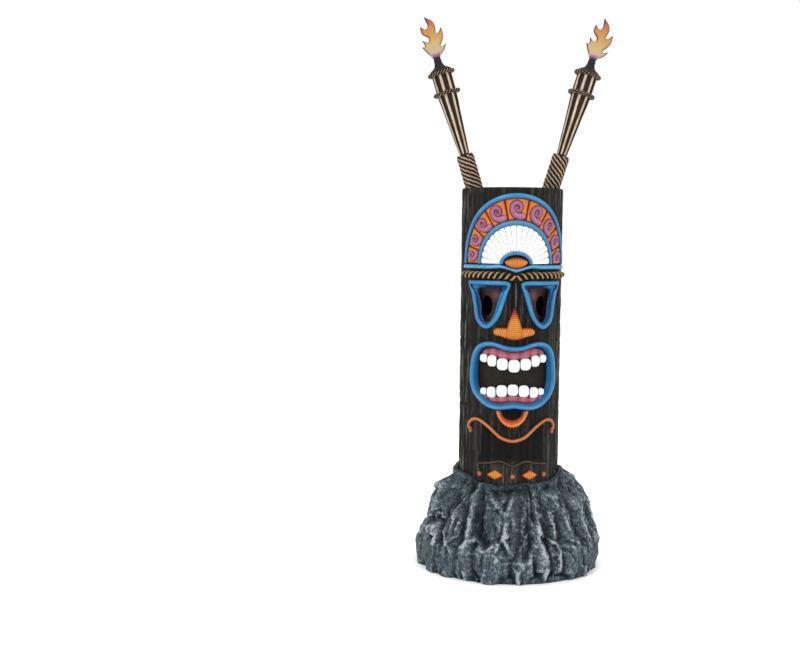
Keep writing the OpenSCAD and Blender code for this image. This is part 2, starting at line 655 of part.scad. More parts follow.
module torch_grip_rope(side) {
  pitch = (grip_top - grip_bottom) / grip_turns;
  coil = pitch * 0.53;
  color([0.66, 0.52, 0.38]) on_torch(side) rotate_extrude() difference() {
    union() {
      for (k = [0 : grip_turns - 1])
        translate([30.5 - coil, grip_bottom + pitch * (k + 0.5)]) circle(r = coil);
      translate([pole_radius, grip_bottom + pitch / 2])
        square([30.5 - coil - pole_radius, grip_top - grip_bottom - pitch]);
    }
    translate([-1, -10]) square([pole_radius + 1 + socket_gap, 400]);
    translate([0, -10]) square([60, grip_bottom + 10]);
    translate([0, grip_top]) square([60, 60]);
  }
}
module torch_grip_rope_left() { torch_grip_rope(-1); }
module torch_grip_rope_right() { torch_grip_rope(1); }

module torch_ring(side, level) {
  color([0.62, 0.49, 0.36]) on_torch(side) translate([0, 0, level]) rotate_extrude()
    translate([basket_radius + ring_thick / 2 + 0.2, 0]) circle(r = ring_thick / 2);
}
module torch_ring_lower_left() { torch_ring(-1, basket_mid); }
module torch_ring_lower_right() { torch_ring(1, basket_mid); }
module torch_ring_upper_left() { torch_ring(-1, basket_top - 7); }
module torch_ring_upper_right() { torch_ring(1, basket_top - 7); }

flame_root = [7, 4];
module torch_burner(side) {
  color([0.22, 0.21, 0.22]) on_torch(side) difference() {
    rotate_extrude() polygon([[0, basket_top - 8], [basket_radius - 4.5, basket_top - 8],
      [basket_radius - 4.5, basket_top + 0.5], [basket_radius + 2, basket_top + 0.5],
      [basket_radius + 1, basket_top + 4], [25, basket_top + 12], [16, basket_top + 20],
      [13, basket_top + 30], [12.2, neck_top], [0, neck_top]]);
    translate([-flame_root.x - 0.4, -flame_root.y - 0.4, neck_top - 12])
      cube([2 * flame_root.x + 0.8, 2 * flame_root.y + 0.8, 20]);
  }
}
module torch_burner_left() { torch_burner(-1); }
module torch_burner_right() { torch_burner(1); }

// Flame outline round its root, clockwise from the lower left.
flame_shape = [[-10, 0], [-16, 8], [-24, 21], [-33, 37], [-38, 50], [-30, 48], [-28, 56],
  [-32, 71], [-26, 68], [-18, 61], [-11, 62], [-8, 68], [-10, 76], [-18, 83], [-26, 92],
  [-28, 106], [-25, 118], [-20, 114], [-12, 106], [-3, 108], [0, 117], [-2, 130], [-4, 147],
  [5, 140], [15, 132], [23, 120], [25, 106], [22, 92], [20, 84], [24, 82], [33, 87], [42, 99],
  [44, 86], [43, 71], [36, 54], [27, 43], [25, 36], [32, 34], [39, 38], [46, 43], [41, 33],
  [34, 22], [24, 13], [15, 7], [11, 0]];
module torch_flame(side) {
  color([0.93, 0.62, 0.27]) on_torch(side) translate([0, 0, neck_top + 0.4])
    rotate([90, 0, 0]) union() {
      translate([0, 0, -flame_thick / 2]) linear_extrude(height = flame_thick)
        polygon(flame_shape);
      translate([-flame_root.x, -12, -flame_root.y])
        cube([2 * flame_root.x, 20, 2 * flame_root.y]);
    }
}
module torch_flame_left() { torch_flame(-1); }
module torch_flame_right() { torch_flame(1); }

rock_shell();
base_board();
log_shell();
top_plate();
torch_socket_left();
torch_socket_right();
arch_outer_band();
arch_inner_band();
arch_tile_1();
arch_tile_2();
arch_tile_3();
arch_tile_4();
arch_tile_5();
arch_tile_6();
arch_tile_7();
arch_tile_8();
arch_tile_9();
tile_spirals();
fan_ribs();
gem_arch();
forehead_gem();
brow_band();
brow_rope();
eye_frame_left();
eye_frame_right();
eye_socket_left();
eye_socket_right();
nose_bridge();
nose();
mouth_frame();
mouth_back();
upper_gum();
lower_gum();
upper_teeth();
lower_teeth();
chin_crescent();
beard_scroll();
hem_ridge();
hem_diamonds();
hem_studs();
torch_core_left();
torch_staves_left();
torch_grip_rope_left();
torch_ring_lower_left();
torch_ring_upper_left();
torch_burner_left();
torch_flame_left();
torch_core_right();
torch_staves_right();
torch_grip_rope_right();
torch_ring_lower_right();
torch_ring_upper_right();
torch_burner_right();
torch_flame_right();
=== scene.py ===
import math
import random
import bpy
import bmesh
from mathutils import Matrix, Vector, noise


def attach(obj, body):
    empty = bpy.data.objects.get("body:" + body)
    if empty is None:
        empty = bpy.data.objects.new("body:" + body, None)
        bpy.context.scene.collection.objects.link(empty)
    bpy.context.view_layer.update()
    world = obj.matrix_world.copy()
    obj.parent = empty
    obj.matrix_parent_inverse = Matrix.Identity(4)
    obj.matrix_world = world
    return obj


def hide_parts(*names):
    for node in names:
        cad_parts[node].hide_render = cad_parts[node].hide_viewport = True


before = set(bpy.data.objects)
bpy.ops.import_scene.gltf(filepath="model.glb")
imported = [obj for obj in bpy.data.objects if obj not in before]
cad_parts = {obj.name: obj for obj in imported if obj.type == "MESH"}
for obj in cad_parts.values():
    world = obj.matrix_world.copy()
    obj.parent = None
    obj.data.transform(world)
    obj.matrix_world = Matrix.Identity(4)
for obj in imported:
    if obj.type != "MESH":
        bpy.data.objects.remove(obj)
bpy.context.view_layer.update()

# ---- Studio --------------------------------------------------------------------
# A pale seamless floor under a white sky, with large soft lamps before, above and
# behind the figure. The camera stands a little to its left at chest height and
# looks slightly down.


lamp_dimming = 0.6


def tone(red, green, blue):
    """A paint in 0 to 255 steps of red, green and blue, dimmed for the bright lamps."""
    return tuple(lamp_dimming * (c / 255) ** 2.2 for c in (red, green, blue)) + (1.0,)


scene = bpy.context.scene
scene.view_settings.view_transform = "Standard"
sky = bpy.data.worlds.new("white_sky")
sky.use_nodes = True
sky.node_tree.nodes["Background"].inputs["Color"].default_value = (1, 1, 1, 1)
sky.node_tree.nodes["Background"].inputs["Strength"].default_value = 1.0
scene.world = sky

ground = bmesh.new()
bmesh.ops.create_grid(ground, x_segments=8, y_segments=8, size=14)
ground_mesh = bpy.data.meshes.new("floor")
ground.to_mesh(ground_mesh)
ground.free()
floor = bpy.data.objects.new("floor", ground_mesh)
scene.collection.objects.link(floor)
floor_paint = bpy.data.materials.new("pale_floor")
floor_paint.use_nodes = True
pale = floor_paint.node_tree.nodes["Principled BSDF"]
pale.inputs["Base Color"].default_value = (0.97, 0.97, 0.97, 1)
pale.inputs["Roughness"].default_value = 0.9
pale.inputs["Emission Color"].default_value = (1, 1, 1, 1)
pale.inputs["Emission Strength"].default_value = 0.1
floor_cloud = floor_paint.node_tree.nodes.new("ShaderNodeTexNoise")
floor_cloud.inputs["Scale"].default_value = 3
floor_bump = floor_paint.node_tree.nodes.new("ShaderNodeBump")
floor_bump.inputs["Strength"].default_value = 0.02
floor_paint.node_tree.links.new(floor_cloud.outputs["Fac"], floor_bump.inputs["Height"])
floor_paint.node_tree.links.new(floor_bump.outputs["Normal"], pale.inputs["Normal"])
ground_mesh.materials.append(floor_paint)

middle_height = Vector((0, 0, 0.95))
for name, spot, size, power in (("key_lamp", (-2.2, -3.4, 3.2), 1.8, 64),
                                ("fill_lamp", (2.8, -3.0, 1.9), 2.2, 25),
                                ("top_lamp", (0.2, -0.6, 4.2), 2.0, 26),
                                ("rear_lamp", (1.0, 3.6, 2.4), 2.0, 34)):
    lamp = bpy.data.lights.new(name, "AREA")
    lamp.size = size
    lamp.energy = power
    holder = bpy.data.objects.new(name, lamp)
    holder.location = spot
    aim = middle_height - Vector(spot)
    holder.rotation_euler = aim.to_track_quat("-Z", "Y").to_euler()
    scene.collection.objects.link(holder)

lens = bpy.data.cameras.new("camera")
lens.lens = 52.56
lens.sensor_width = 36
camera = bpy.data.objects.new("camera", lens)
scene.collection.objects.link(camera)
camera.matrix_world = (Matrix.Translation((-0.387, -4.09, 1.150))
                       @ Matrix.Rotation(math.radians(90 - 4.406), 4, "X")
                       @ Matrix.Rotation(math.radians(0.55), 4, "Z"))
scene.camera = camera

# ---- Rock base -----------------------------------------------------------------
# A hollow cast-resin boulder, carved in tall leaning shards and painted slate grey:
# wash and painted shade dark in the creases, dry-brush and painted highlight pale on the
# edges. A dark board closes it below, and the log stands in its collar.
MM = 0.001


def reading(table, x):
    """A value from rows of (x, value), straight between the rows."""
    if x <= table[0][0]:
        return table[0][1]
    for (x0, v0), (x1, v1) in zip(table, table[1:]):
        if x <= x1:
            return v0 + (v1 - v0) * (x - x0) / (x1 - x0)
    return table[-1][1]


def kept(x, low=0.0, high=1.0):
    """x, or the nearer limit where it lies outside them."""
    return max(low, min(high, x))


def eased(x, low=0.0, high=1.0):
    """0 below low, 1 above high, and a soft step between."""
    t = kept((x - low) / (high - low))
    return t * t * (3 - 2 * t)


def clay():
    """An empty bmesh whose points carry a level from crease to crest: wash and painted shade up to
    dry-brush and painted highlight.
    """
    lump = bmesh.new()
    lump.verts.layers.float.new("rise")
    return lump


def press(lump, along, across, place):
    """Add a grid to the clay; its point (u, w) is pressed to place(u, w) = (spot, rise)."""
    rise = lump.verts.layers.float["rise"]
    grid = bmesh.ops.create_grid(lump, x_segments=along, y_segments=across, size=0.5)["verts"]
    for v in grid:
        v.co, v[rise] = place(v.co.x + 0.5, v.co.y + 0.5)
    bmesh.ops.remove_doubles(lump, verts=grid, dist=4e-6)


def wash_and_shade_creases(lump, depth, passes):
    """Read crest and crease from the shape: how far each point stands above a softer copy."""
    bmesh.ops.recalc_face_normals(lump, faces=lump.faces)
    lump.normal_update()
    soft = lump.copy()
    for _ in range(passes):
        bmesh.ops.smooth_vert(soft, verts=soft.verts, factor=0.5, use_axis_x=True, use_axis_y=True,
                              use_axis_z=True)
    rise = lump.verts.layers.float["rise"]
    # Points below the softer copy get wash and painted shade; points above it get dry-brush and painted
    # highlight.
    for v, w in zip(lump.verts, soft.verts):
        v[rise] = kept(0.5 + (v.co - w.co).dot(v.normal) / depth)
    soft.free()


def show(name, lump, material, slot, stands_for, body="totem", crease=50):
    """Close the clay, cast it as an object, and fix it to its body."""
    bmesh.ops.holes_fill(lump, edges=[e for e in lump.edges if e.is_boundary], sides=0)
    bmesh.ops.recalc_face_normals(lump, faces=lump.faces)
    for e in lump.edges:
        e.smooth = not (e.is_manifold and e.calc_face_angle() > math.radians(crease))
    for f in lump.faces:
        f.smooth = True
    mesh = bpy.data.meshes.new(name)
    lump.to_mesh(mesh)
    lump.free()
    mesh.materials.append(material)
    cast = bpy.data.objects.new(name, mesh)
    scene.collection.objects.link(cast)
    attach(cast, body)
    if stands_for:
        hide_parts(*stands_for)
    return cast


def paint(name, shades, cloud=(6, 0.15), grain=(90, 0.15), stretch=(1, 1, 1), tooth=0.35,
          rough=(0.6, 0.42), gloss=0.3, start=None, pit=0.0015):
    """Hand-painted resin: shades run from the dark wash and painted shade in the creases to
    the dry-brushed crests and painted highlights, broken up by clouds and by the grain of the
    brush. A shade is (where it lies, its red, green and blue steps), or four shares of light
    for a white. A part with no creases of its own takes the one shade at start."""
    m = bpy.data.materials.new(name)
    m.use_nodes = True
    nodes, wire = m.node_tree.nodes, m.node_tree.links.new
    shader = nodes["Principled BSDF"]
    shader.inputs["Specular IOR Level"].default_value = gloss
    spot = nodes.new("ShaderNodeTexCoord")
    turn = nodes.new("ShaderNodeMapping")
    turn.inputs["Scale"].default_value = stretch
    wire(spot.outputs["Object"], turn.inputs["Vector"])
    level = None
    if start is None:
        height = nodes.new("ShaderNodeAttribute")
        height.attribute_name = "rise"
        level = height.outputs["Fac"]
    for scale, amount in (cloud, grain):
        fine = nodes.new("ShaderNodeTexNoise")
        fine.inputs["Scale"].default_value = scale
        fine.inputs["Detail"].default_value = 4
        fine.inputs["Roughness"].default_value = 0.6
        wire(turn.outputs["Vector"], fine.inputs["Vector"])
        shift = nodes.new("ShaderNodeMath")
        shift.operation = "MULTIPLY_ADD"
        wire(fine.outputs["Fac"], shift.inputs[0])
        shift.inputs[1].default_value = 2 * amount
        shift.inputs[2].default_value = -amount
        both = nodes.new("ShaderNodeMath")
        both.operation = "ADD"
        if level is None:
            both.inputs[0].default_value = start
        else:
            wire(level, both.inputs[0])
        wire(shift.outputs[0], both.inputs[1])
        level = both.outputs[0]
    # The ramp runs from wash and painted shade at the low end to dry-brush and painted highlight at the
    # high end.
    ramp = nodes.new("ShaderNodeValToRGB")
    while len(ramp.color_ramp.elements) < len(shades):
        ramp.color_ramp.elements.new(0.5)
    for stop, (place, colour) in zip(ramp.color_ramp.elements, shades):
        stop.position = place
        stop.color = tone(*colour) if len(colour) == 3 else colour
    wire(level, ramp.inputs["Fac"])
    wire(ramp.outputs["Color"], shader.inputs["Base Color"])
    wear = nodes.new("ShaderNodeMapRange")
    wear.inputs["To Min"].default_value = rough[0]
    wear.inputs["To Max"].default_value = rough[1]
    wire(level, wear.inputs["Value"])
    wire(wear.outputs["Result"], shader.inputs["Roughness"])
    bump = nodes.new("ShaderNodeBump")
    bump.inputs["Strength"].default_value = tooth
    bump.inputs["Distance"].default_value = pit
    wire(fine.outputs["Fac"], bump.inputs["Height"])
    wire(bump.outputs["Normal"], shader.inputs["Normal"])
    return m


def dress(node, material):
    """Give a CAD node that keeps its own shape its finish."""
    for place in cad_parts[node].material_slots:
        place.material = material


rock_radius, fullest = 335, 312
shard_room = 32
outside_rows = 0.86
# The rock's outline as (share of its height, share of its radius).
rock_sides = ((0, 0.93), (0.07, 0.955), (0.16, 1), (0.24, 1), (0.30, 0.975), (0.37, 0.915),
              (0.45, 0.86), (0.54, 0.82), (0.65, 0.79), (0.75, 0.745), (0.856, 0.69),
              (0.93, 0.635), (1, 0.585))
# Shards as (angle at the top, angle at the foot, half width at the top, at the foot,
# how far it stands out in mm, the share of the height where it starts).
shards = [(-36, -30, 6, 9, 34, 0.97), (-50, -45, 12, 15, 30, 0.72), (-8, -15, 16, 15, 36, 0.93),
          (-19, -21, 8, 11, 30, 0.45), (15, 20, 5, 7, 34, 0.66), (25, 28, 7, 9, 26, 0.48),
          (40, 40, 14, 13, 34, 0.95), (60, 57, 11, 14, 34, 0.86), (78, 73, 11, 13, 36, 0.99),
          (-70, -63, 13, 15, 36, 0.99), (-88, -80, 11, 14, 38, 0.90), (5, 2, 6, 9, 26, 0.33),
          (48, 52, 6, 8, 30, 0.40), (-30, -36, 6, 10, 26, 0.30)]
chance = random.Random(11)
for step in range(11):
    spin = 94 + step * 16.2 + chance.uniform(-4, 4)
    shards.append((spin, spin + chance.uniform(-9, 9), chance.uniform(7, 14), chance.uniform(10, 15),
                   chance.uniform(26, 36), chance.choice((0.45, 0.7, 0.86, 0.95, 0.99))))


def rock_side(angle, share, spot):
    """Radius of the rock in mm at an angle in degrees and a share of its height."""
    stand = 0.0
    for top, foot, wide_top, wide_foot, out, start in shards:
        middle = foot + (top - foot) * share
        wide = wide_foot + (wide_top - wide_foot) * share
        off = abs((angle - middle + 180) % 360 - 180) / wide
        if off < 1 and share < start:
            crest = 0.8 * (1 - off) + 0.2 * (1 - off * off)
            stand = max(stand, out * crest * eased(start - share, 0, 0.10))
    chip = 0.0
    for size, depth, key in ((Vector((86, 86, 210)), 26, 3.1), (Vector((34, 34, 74)), 10, 5.9)):
        place = Vector((spot.x / size.x + key, spot.y / size.y, spot.z / size.z))
        gaps, seeds = noise.voronoi(place)
        plane = [(place - seeds[n]).dot(noise.cell_vector(seeds[n] * key * 9) * 2 - Vector((1, 1, 1)))
                 for n in (0, 1)]
        own = 0.5 + 0.5 * min(1, (gaps[1] - gaps[0]) / 0.10)
        chip += depth * (plane[0] * own + plane[1] * (1 - own))
    ridge = 1 - abs(noise.noise(Vector((spot.x / 26, spot.y / 26, spot.z / 60)))) * 2
    rough = 2.6 * (ridge - 0.6) + 2.4 * noise.fractal(spot / 10, 0.6, 2.2, 5)
    return (rock_radius * reading(rock_sides, share) + 1.15 * stand
            - shard_room * (0.3 + 0.7 * eased(1 - share, 0, 0.12))
            + chip * (0.35 + 0.65 * eased(1 - share, 0, 0.15)) + rough)


def rock_point(u, w):
    """The rock's skin: up the outside, over the lip, down the collar and back below."""
    angle = 360 * u
    turn = math.radians(angle)
    peak = (309 + 32 * (1 - math.cos(turn / 2) ** 6) + 5 * math.sin(math.radians(angle * 5 + 40))
            + 7 * noise.noise(Vector((4 * math.sin(turn), 4 * math.cos(turn), 0.3))))
    if w < outside_rows:
        share = w / outside_rows
        height = peak * share
        guess = rock_radius * reading(rock_sides, share)
        spot = Vector((guess * math.sin(turn), -guess * math.cos(turn), height))
        radius = rock_side(angle, share, spot)
        foot = 302 + 4 * abs(noise.noise(spot / 22)) - 300 * max(0, share - 0.055)
        radius = max(radius, 179.5 + 9 * (1 - share), foot)
        if radius > fullest:
            radius = fullest + 20 * (1 - math.exp((fullest - radius) / 20))
    else:
        inside = ((178, peak - 2), (178, 252), (165, 250), (150, 236), (230, 150), (286, 30),
                  (300, 16), (300, 0))
        radius, height = inside[min(7, round((w - outside_rows) * 100 / 1.99))]
    return Vector((radius * math.sin(turn), -radius * math.cos(turn), height)) * MM, 0.5


rock = clay()
press(rock, 400, 110, rock_point)
wash_and_shade_creases(rock, 0.0105, 16)
rise = rock.verts.layers.float["rise"]
# Painted shadow: the rock's top is darkened within about 22 mm of the log standing in it.
for v in rock.verts:
    if v.co.z > 0.2:
        from_log = math.hypot(v.co.x, v.co.y) - 0.178
        v[rise] = min(v[rise], 0.34 + 0.4 * eased(from_log, 0.005, 0.022))
slate = paint("washed_and_shaded_slate", ((0.0, (12, 16, 19)), (0.34, (38, 48, 53)),
                               (0.52, (72, 86, 93)), (0.68, (104, 120, 127)),
                               (0.86, (190, 202, 208))),
              cloud=(11, 0.12), grain=(130, 0.50), stretch=(1.2, 1.2, 0.8), tooth=1.0,
              rough=(0.85, 0.7), gloss=0.25, pit=0.004)
show("rock_base", rock, slate, "rock", ["rock_shell"])
dress("base_board", paint("sealed_board", ((0.2, (46, 38, 31)), (0.8, (92, 78, 64))),
                          cloud=(9, 0.3), grain=(120, 0.2), stretch=(1, 12, 12), start=0.5))

# ---- Log -----------------------------------------------------------------------
# A hollow resin trunk, near-black brown, with bark combed upright round the sides
# and back and a smoother face, sunk below the beard and open at the eyes and mouth.


bark_radius = 175
face_radius = 178
log_foot, log_length = 250, 1063


def wrap(s, z, h=0.0):
    """A point s mm along the log's face, z mm up, standing h mm off the bark."""
    turn = s / face_radius
    return Vector(((bark_radius + h) * math.sin(turn), -(bark_radius + h) * math.cos(turn), z)) * MM


def curve(points, closed=False, fine=8):
    """Points along a smooth line through the given ones, evenly spread."""
    dots = [Vector(p) for p in points]
    n = len(dots)
    line = []
    for i in range(n if closed else n - 1):
        a, b, c, d = (dots[j % n] if closed else dots[max(0, min(n - 1, j))]
                      for j in (i - 1, i, i + 1, i + 2))
        for k in range(fine):
            t = k / fine
            line.append(0.5 * (2 * b + (c - a) * t + (2 * a - 5 * b + 4 * c - d) * t * t
                               + (3 * b - a - 3 * c + d) * t ** 3))
    line.append(dots[0] if closed else dots[-1])
    reach = [0.0]
    for p, q in zip(line, line[1:]):
        reach.append(reach[-1] + (q - p).length)
    rows = [tuple(zip((r / reach[-1] for r in reach), (p[i] for p in line)))
            for i in range(len(line[0]))]
    return lambda u: Vector([reading(row, u) for row in rows])


def within(s, z, line):
    """Whether a point lies inside a closed outline."""
    odd = False
    for (x0, y0), (x1, y1) in zip(line, line[1:] + line[:1]):
        if (y0 > z) != (y1 > z) and s < x0 + (z - y0) * (x1 - x0) / (y1 - y0):
            odd = not odd
    return odd


# Outlines in mm from the middle of the left eye and of the mouth.
eye_across, eye_height, mouth_height = 102, 917, 672
eye_shape = [(-86, 71), (-77, 81), (-54, 84), (-12, 84), (32, 84), (73, 82), (76, 76), (70, 58),
             (61, 38), (54, 14), (48, -13), (44, -37), (37, -55), (26, -67), (13, -77), (-4, -81),
             (-20, -75), (-34, -62), (-45, -48), (-55, -27), (-63, -3), (-71, 23), (-80, 51)]
eye_core = [(-58, 50), (50, 52), (-4, -46)]
mouth_half = [(0, 107), (28, 110), (52, 117.5), (77, 122.5), (101, 121.5), (120, 115), (137, 104),
              (150, 86), (158.5, 63), (163.5, 37), (166, 3), (164, -22), (157, -43), (143, -64),
              (126, -80), (107, -94), (87, -103.5), (67, -108.5), (46, -109.5), (22, -106),
              (0, -103.5)]
mouth_shape = mouth_half + [(-x, y) for x, y in mouth_half[-2:0:-1]]


def toward_core(p, far):
    """An eye outline point moved far mm toward the nearest side of its inner triangle."""
    best = None
    for a, b in zip(eye_core, eye_core[1:] + eye_core[:1]):
        a, b = Vector(a), Vector(b)
        foot = a + (b - a) * kept((p - a).dot(b - a) / (b - a).length_squared)
        if best is None or (foot - p).length < (best - p).length:
            best = foot
    return p + (best - p).normalized() * far


def inward(line, u, far):
    """A point of a clockwise closed line moved far mm to its inside."""
    t = line((u + 0.004) % 1) - line((u - 0.004) % 1)
    return line(u) + Vector((t.y, -t.x)).normalized() * far


eye_line = curve(eye_shape, closed=True)
mouth_line = curve(mouth_shape, closed=True, fine=4)
eye_hole = [tuple(toward_core(Vector(p), 9) + Vector((eye_across, eye_height))) for p in eye_shape]
mouth_hole = [tuple(inward(mouth_line, k / 60, 8) + Vector((0, mouth_height))) for k in range(60)]
holes = [eye_hole, [(-x, y) for x, y in eye_hole], mouth_hole]

# The beard scroll and the top edge of the sunk panel under it, out from the middle.
scroll_height = 458
scroll_half = [(0, 0), (20, 3.5), (42, 12.5), (61, 28), (83, 46.5), (105.5, 60.5), (128.5, 68.5),
               (151, 64), (166, 51), (168, 37), (158, 28)]
scroll_edge = [(0, 0), (20, 3.5), (42, 12.5), (61, 28), (83, 46.5), (105.5, 60.5), (124, 67)]


def log_point(u, w):
    """The bark: combed ridges at the sides and back, worn smooth on the face."""
    s, z = (u - 0.5) * math.tau * face_radius, log_foot + log_length * w
    turn = s / face_radius
    ring = Vector((math.sin(turn), -math.cos(turn), 0))
    wild = eased(abs(s), 150, 205)
    wander = 9 * noise.noise(Vector((ring.x * 2, ring.y * 2, z / 190)))
    spot = Vector((ring.x * face_radius + wander, ring.y * face_radius + wander, 0))
    comb = min(1, abs(noise.noise(Vector((spot.x / 10, spot.y / 10, z / 120)))) * 2.4)
    second = min(1, abs(noise.noise(Vector((spot.x / 6.5, spot.y / 6.5, z / 85 + 9)))) * 2)
    h = -(0.35 + 5.0 * wild) * (1 - comb) ** 2 - (0.25 + 1.6 * wild) * (1 - second) ** 3
    brush = noise.fractal(Vector((spot.x / 9, spot.y / 9, z / 260 + 3)), 0.8, 2.2, 3)
    # The combed ridges at the sides are dry-brushed pale with painted highlight; the grooves are dark
    # with painted shade.
    rise = 0.45 + (0.02 + 0.50 * (comb - 0.45)) * wild + (0.34 - 0.14 * wild) * brush
    for seam in (569, 794):
        drift = seam + 9 * noise.noise(Vector((ring.x * 3, ring.y * 3, seam / 50)))
        # Painted shade in the seam groove.
        cut = max(0.0, 1 - abs(z - drift) / 6) * (0.15 + 0.85 * wild)
        h -= 3.2 * cut
        rise -= 0.3 * cut
    top = reading(scroll_edge, abs(s)) + scroll_height - 2
    above_hem = eased(z, 386, 396)
    sunk = eased(top - z, 0, 12) * above_hem * eased(126 - abs(s), 0, 14)
    bowl = eased(1 - math.hypot(s / 34, (z - 557) / 27), 0, 0.35) * eased(561 - z, -8, 0)
    # Painted shade in the sunk panel and in the bowl under the chin.
    h -= 4.2 * sunk + 6.5 * bowl
    rise -= 0.33 * sunk + 0.5 * bowl
    # Painted highlight along the panel's sloping side edges; painted shade in the cracks.
    slope = eased(top - z, 0, 8) * above_hem * math.exp(-((abs(s) - 119) / 4.5) ** 2)
    crack = max(0.0, 1 - 9 * abs(noise.noise(Vector((s / 9, z / 120, 4.2)))))
    crack *= eased(z, top + 4, top + 14) * eased(128 - abs(s), 0, 30) * eased(566 - z, 0, 12)
    rise += 0.34 * slope - 0.30 * crack + 0.08 * eased(382 - z, 0, 20) * (1 - wild)
    h -= 1.2 * crack
    if abs(s) < 190:
        h = min(h, 0.2)
    h -= max(0, z - log_foot - log_length + 4) ** 2 / 8
    return wrap(s, z, h), kept(rise)


log = clay()
press(log, 256, 150, log_point)
spare = []
for f in log.faces:
    c = f.calc_center_median() * 1000
    if c.y < 0:
        s, z = face_radius * math.atan2(c.x, -c.y), c.z
        if 500 < z < 1010 and any(within(s, z, hole) for hole in holes):
            spare.append(f)
bmesh.ops.delete(log, geom=spare, context="FACES")
bmesh.ops.recalc_face_normals(log, faces=log.faces)
if sum(f.normal.xy.dot(f.calc_center_median().xy) for f in log.faces) < 0:
    bmesh.ops.reverse_faces(log, faces=log.faces)
bmesh.ops.solidify(log, geom=log.faces, thickness=0.0105)
bark = paint("painted_bark", ((0.0, (8, 7, 6)), (0.3, (22, 20, 16)), (0.5, (38, 35, 29)),
                              (0.68, (66, 66, 58)), (0.9, (120, 126, 114))),
             cloud=(26, 0.16), grain=(120, 0.36), stretch=(2.6, 2.6, 0.32), tooth=1.0,
             rough=(0.85, 0.65), gloss=0.2, pit=0.003)
show("log", log, bark, "log", ["log_shell"])
soot = paint("dark_inside", ((0.2, (10, 9, 8)), (0.8, (34, 29, 25))), cloud=(8, 0.25),
             grain=(60, 0.25), stretch=(3, 3, 0.4), tooth=0.8, start=0.4, rough=(0.9, 0.75))
for node in ("top_plate", "torch_socket_left", "torch_socket_right"):
    dress(node, soot)

# ---- Headdress -----------------------------------------------------------------
# Two blue arches with nine orange tiles between them, a pink snail on each tile,
# a white fan inside, and an orange gem under its own small arch at the bottom.


def softened(x, power):
    """x raised to a power with its sign kept, which squares up the corners of a round."""
    return math.copysign(abs(x) ** power, x)


def over(w, n=2.5):
    """Across (-1 to 1) and up (0 to 1) round a soft bar that lies flat on its back."""
    c, t = math.cos(math.tau * w), math.sin(math.tau * w)
    return softened(c, 2 / n), (t ** (2 / n) if t > 1e-9 else -0.12 * abs(t) ** 0.5)


def at_edge(u, w):
    """Whether a grid point is on the grid's edge, which is pushed down into the log."""
    return min(u, 1 - u, w, 1 - w) < 0.001


arch_base = 1056.5


def on_arch(half, tall, t):
    """A point on a half ellipse over the arch base, t degrees from its top."""
    return Vector((half * math.sin(math.radians(t)), arch_base + tall * math.cos(math.radians(t))))


def arch_toward(half, tall, angle):
    """The same point found by its direction from the middle of the arch base."""
    if abs(angle) >= 90:
        return on_arch(half, tall, math.copysign(90, angle))
    return on_arch(half, tall, math.degrees(math.atan(math.tan(math.radians(angle)) * tall / half)))


def arch_strip(half, tall, width, height, deeper=0, steps=150):
    """A broad flat-topped band bent along a half ellipse, deeper at its top."""
    lump = clay()

    def place(u, w):
        t = -90 + 180 * u
        a, b = on_arch(half, tall, t), on_arch(half - width, tall - width - deeper, t)
        side, up = over(w, 3.2)
        p = (a + b) / 2 + (a - b) / 2 * side
        wave = 0.5 * noise.noise(Vector((p.x / 14, p.y / 14, side)))
        # Painted highlight along the band's top, paler toward its outer edge; painted shade down its
        # sides.
        return (wrap(p.x, p.y, 0.5 + height * up + wave),
                0.16 + 0.62 * max(0, up) ** 2 + 0.16 * side * max(0, up))

    press(lump, steps, 24, place)
    return lump


azure = paint("azure_paint", ((0.0, (6, 24, 50)), (0.25, (16, 64, 116)), (0.55, (38, 112, 172)),
                              (0.8, (58, 148, 204)), (1.0, (120, 196, 232))),
              cloud=(16, 0.12), grain=(110, 0.14), tooth=0.6, rough=(0.5, 0.36), gloss=0.35)
show("arch_outer", arch_strip(208, 237, 17.5, 9), azure, "blue_paint", ["arch_outer_band"])
lake = paint("lake_blue_paint", ((0.0, (8, 30, 54)), (0.3, (28, 82, 128)), (0.6, (56, 128, 176)),
                                 (0.85, (84, 156, 198)), (1.0, (132, 190, 218))),
             cloud=(16, 0.12), grain=(110, 0.14), tooth=0.6, rough=(0.5, 0.38), gloss=0.35)
show("arch_inner", arch_strip(137.5, 147.5, 15.5, 8, 3.5), lake, "teal_paint", ["arch_inner_band"])

tile_joints = (-90, -72, -52.3, -32.3, -11.3, 11.3, 32.3, 52.3, 72, 90)
tiles = clay()
for k in range(9):
    first, last = tile_joints[k] + 0.25, tile_joints[k + 1] - 0.25

    def place(u, w):
        angle = first + (last - first) * u
        a, b = arch_toward(192, 221, angle), arch_toward(138, 148, angle)
        p = b + (a - b) * w
        edge = min(u, 1 - u) * (last - first) * 3.1
        rim = min(w, 1 - w) * (a - b).length
        dome = eased(min(edge, rim), -2.5, 6)
        wave = 0.6 * noise.noise(Vector((p.x / 15, p.y / 15, k)))
        # Painted highlight on each tile's dome, paler toward the inner arch; the bevelled edges are
        # darker.
        return (wrap(p.x, p.y, (-0.9 if at_edge(u, w) else 0.6) + (4.6 + wave) * dome),
                0.10 + 0.60 * dome + 0.12 * (0.5 - w) * dome)

    press(tiles, 26, 22, place)
tangerine = paint("tangerine_paint", ((0.0, (56, 14, 10)), (0.2, (152, 42, 20)), (0.45, (208, 84, 26)),
                                      (0.7, (235, 144, 48)), (0.95, (246, 184, 78))),
                  cloud=(18, 0.18), grain=(120, 0.16), tooth=0.6, rough=(0.55, 0.42), gloss=0.3)
show("arch_tiles", tiles, tangerine, "orange_paint", ["arch_tile_%d" % k for k in range(1, 10)])

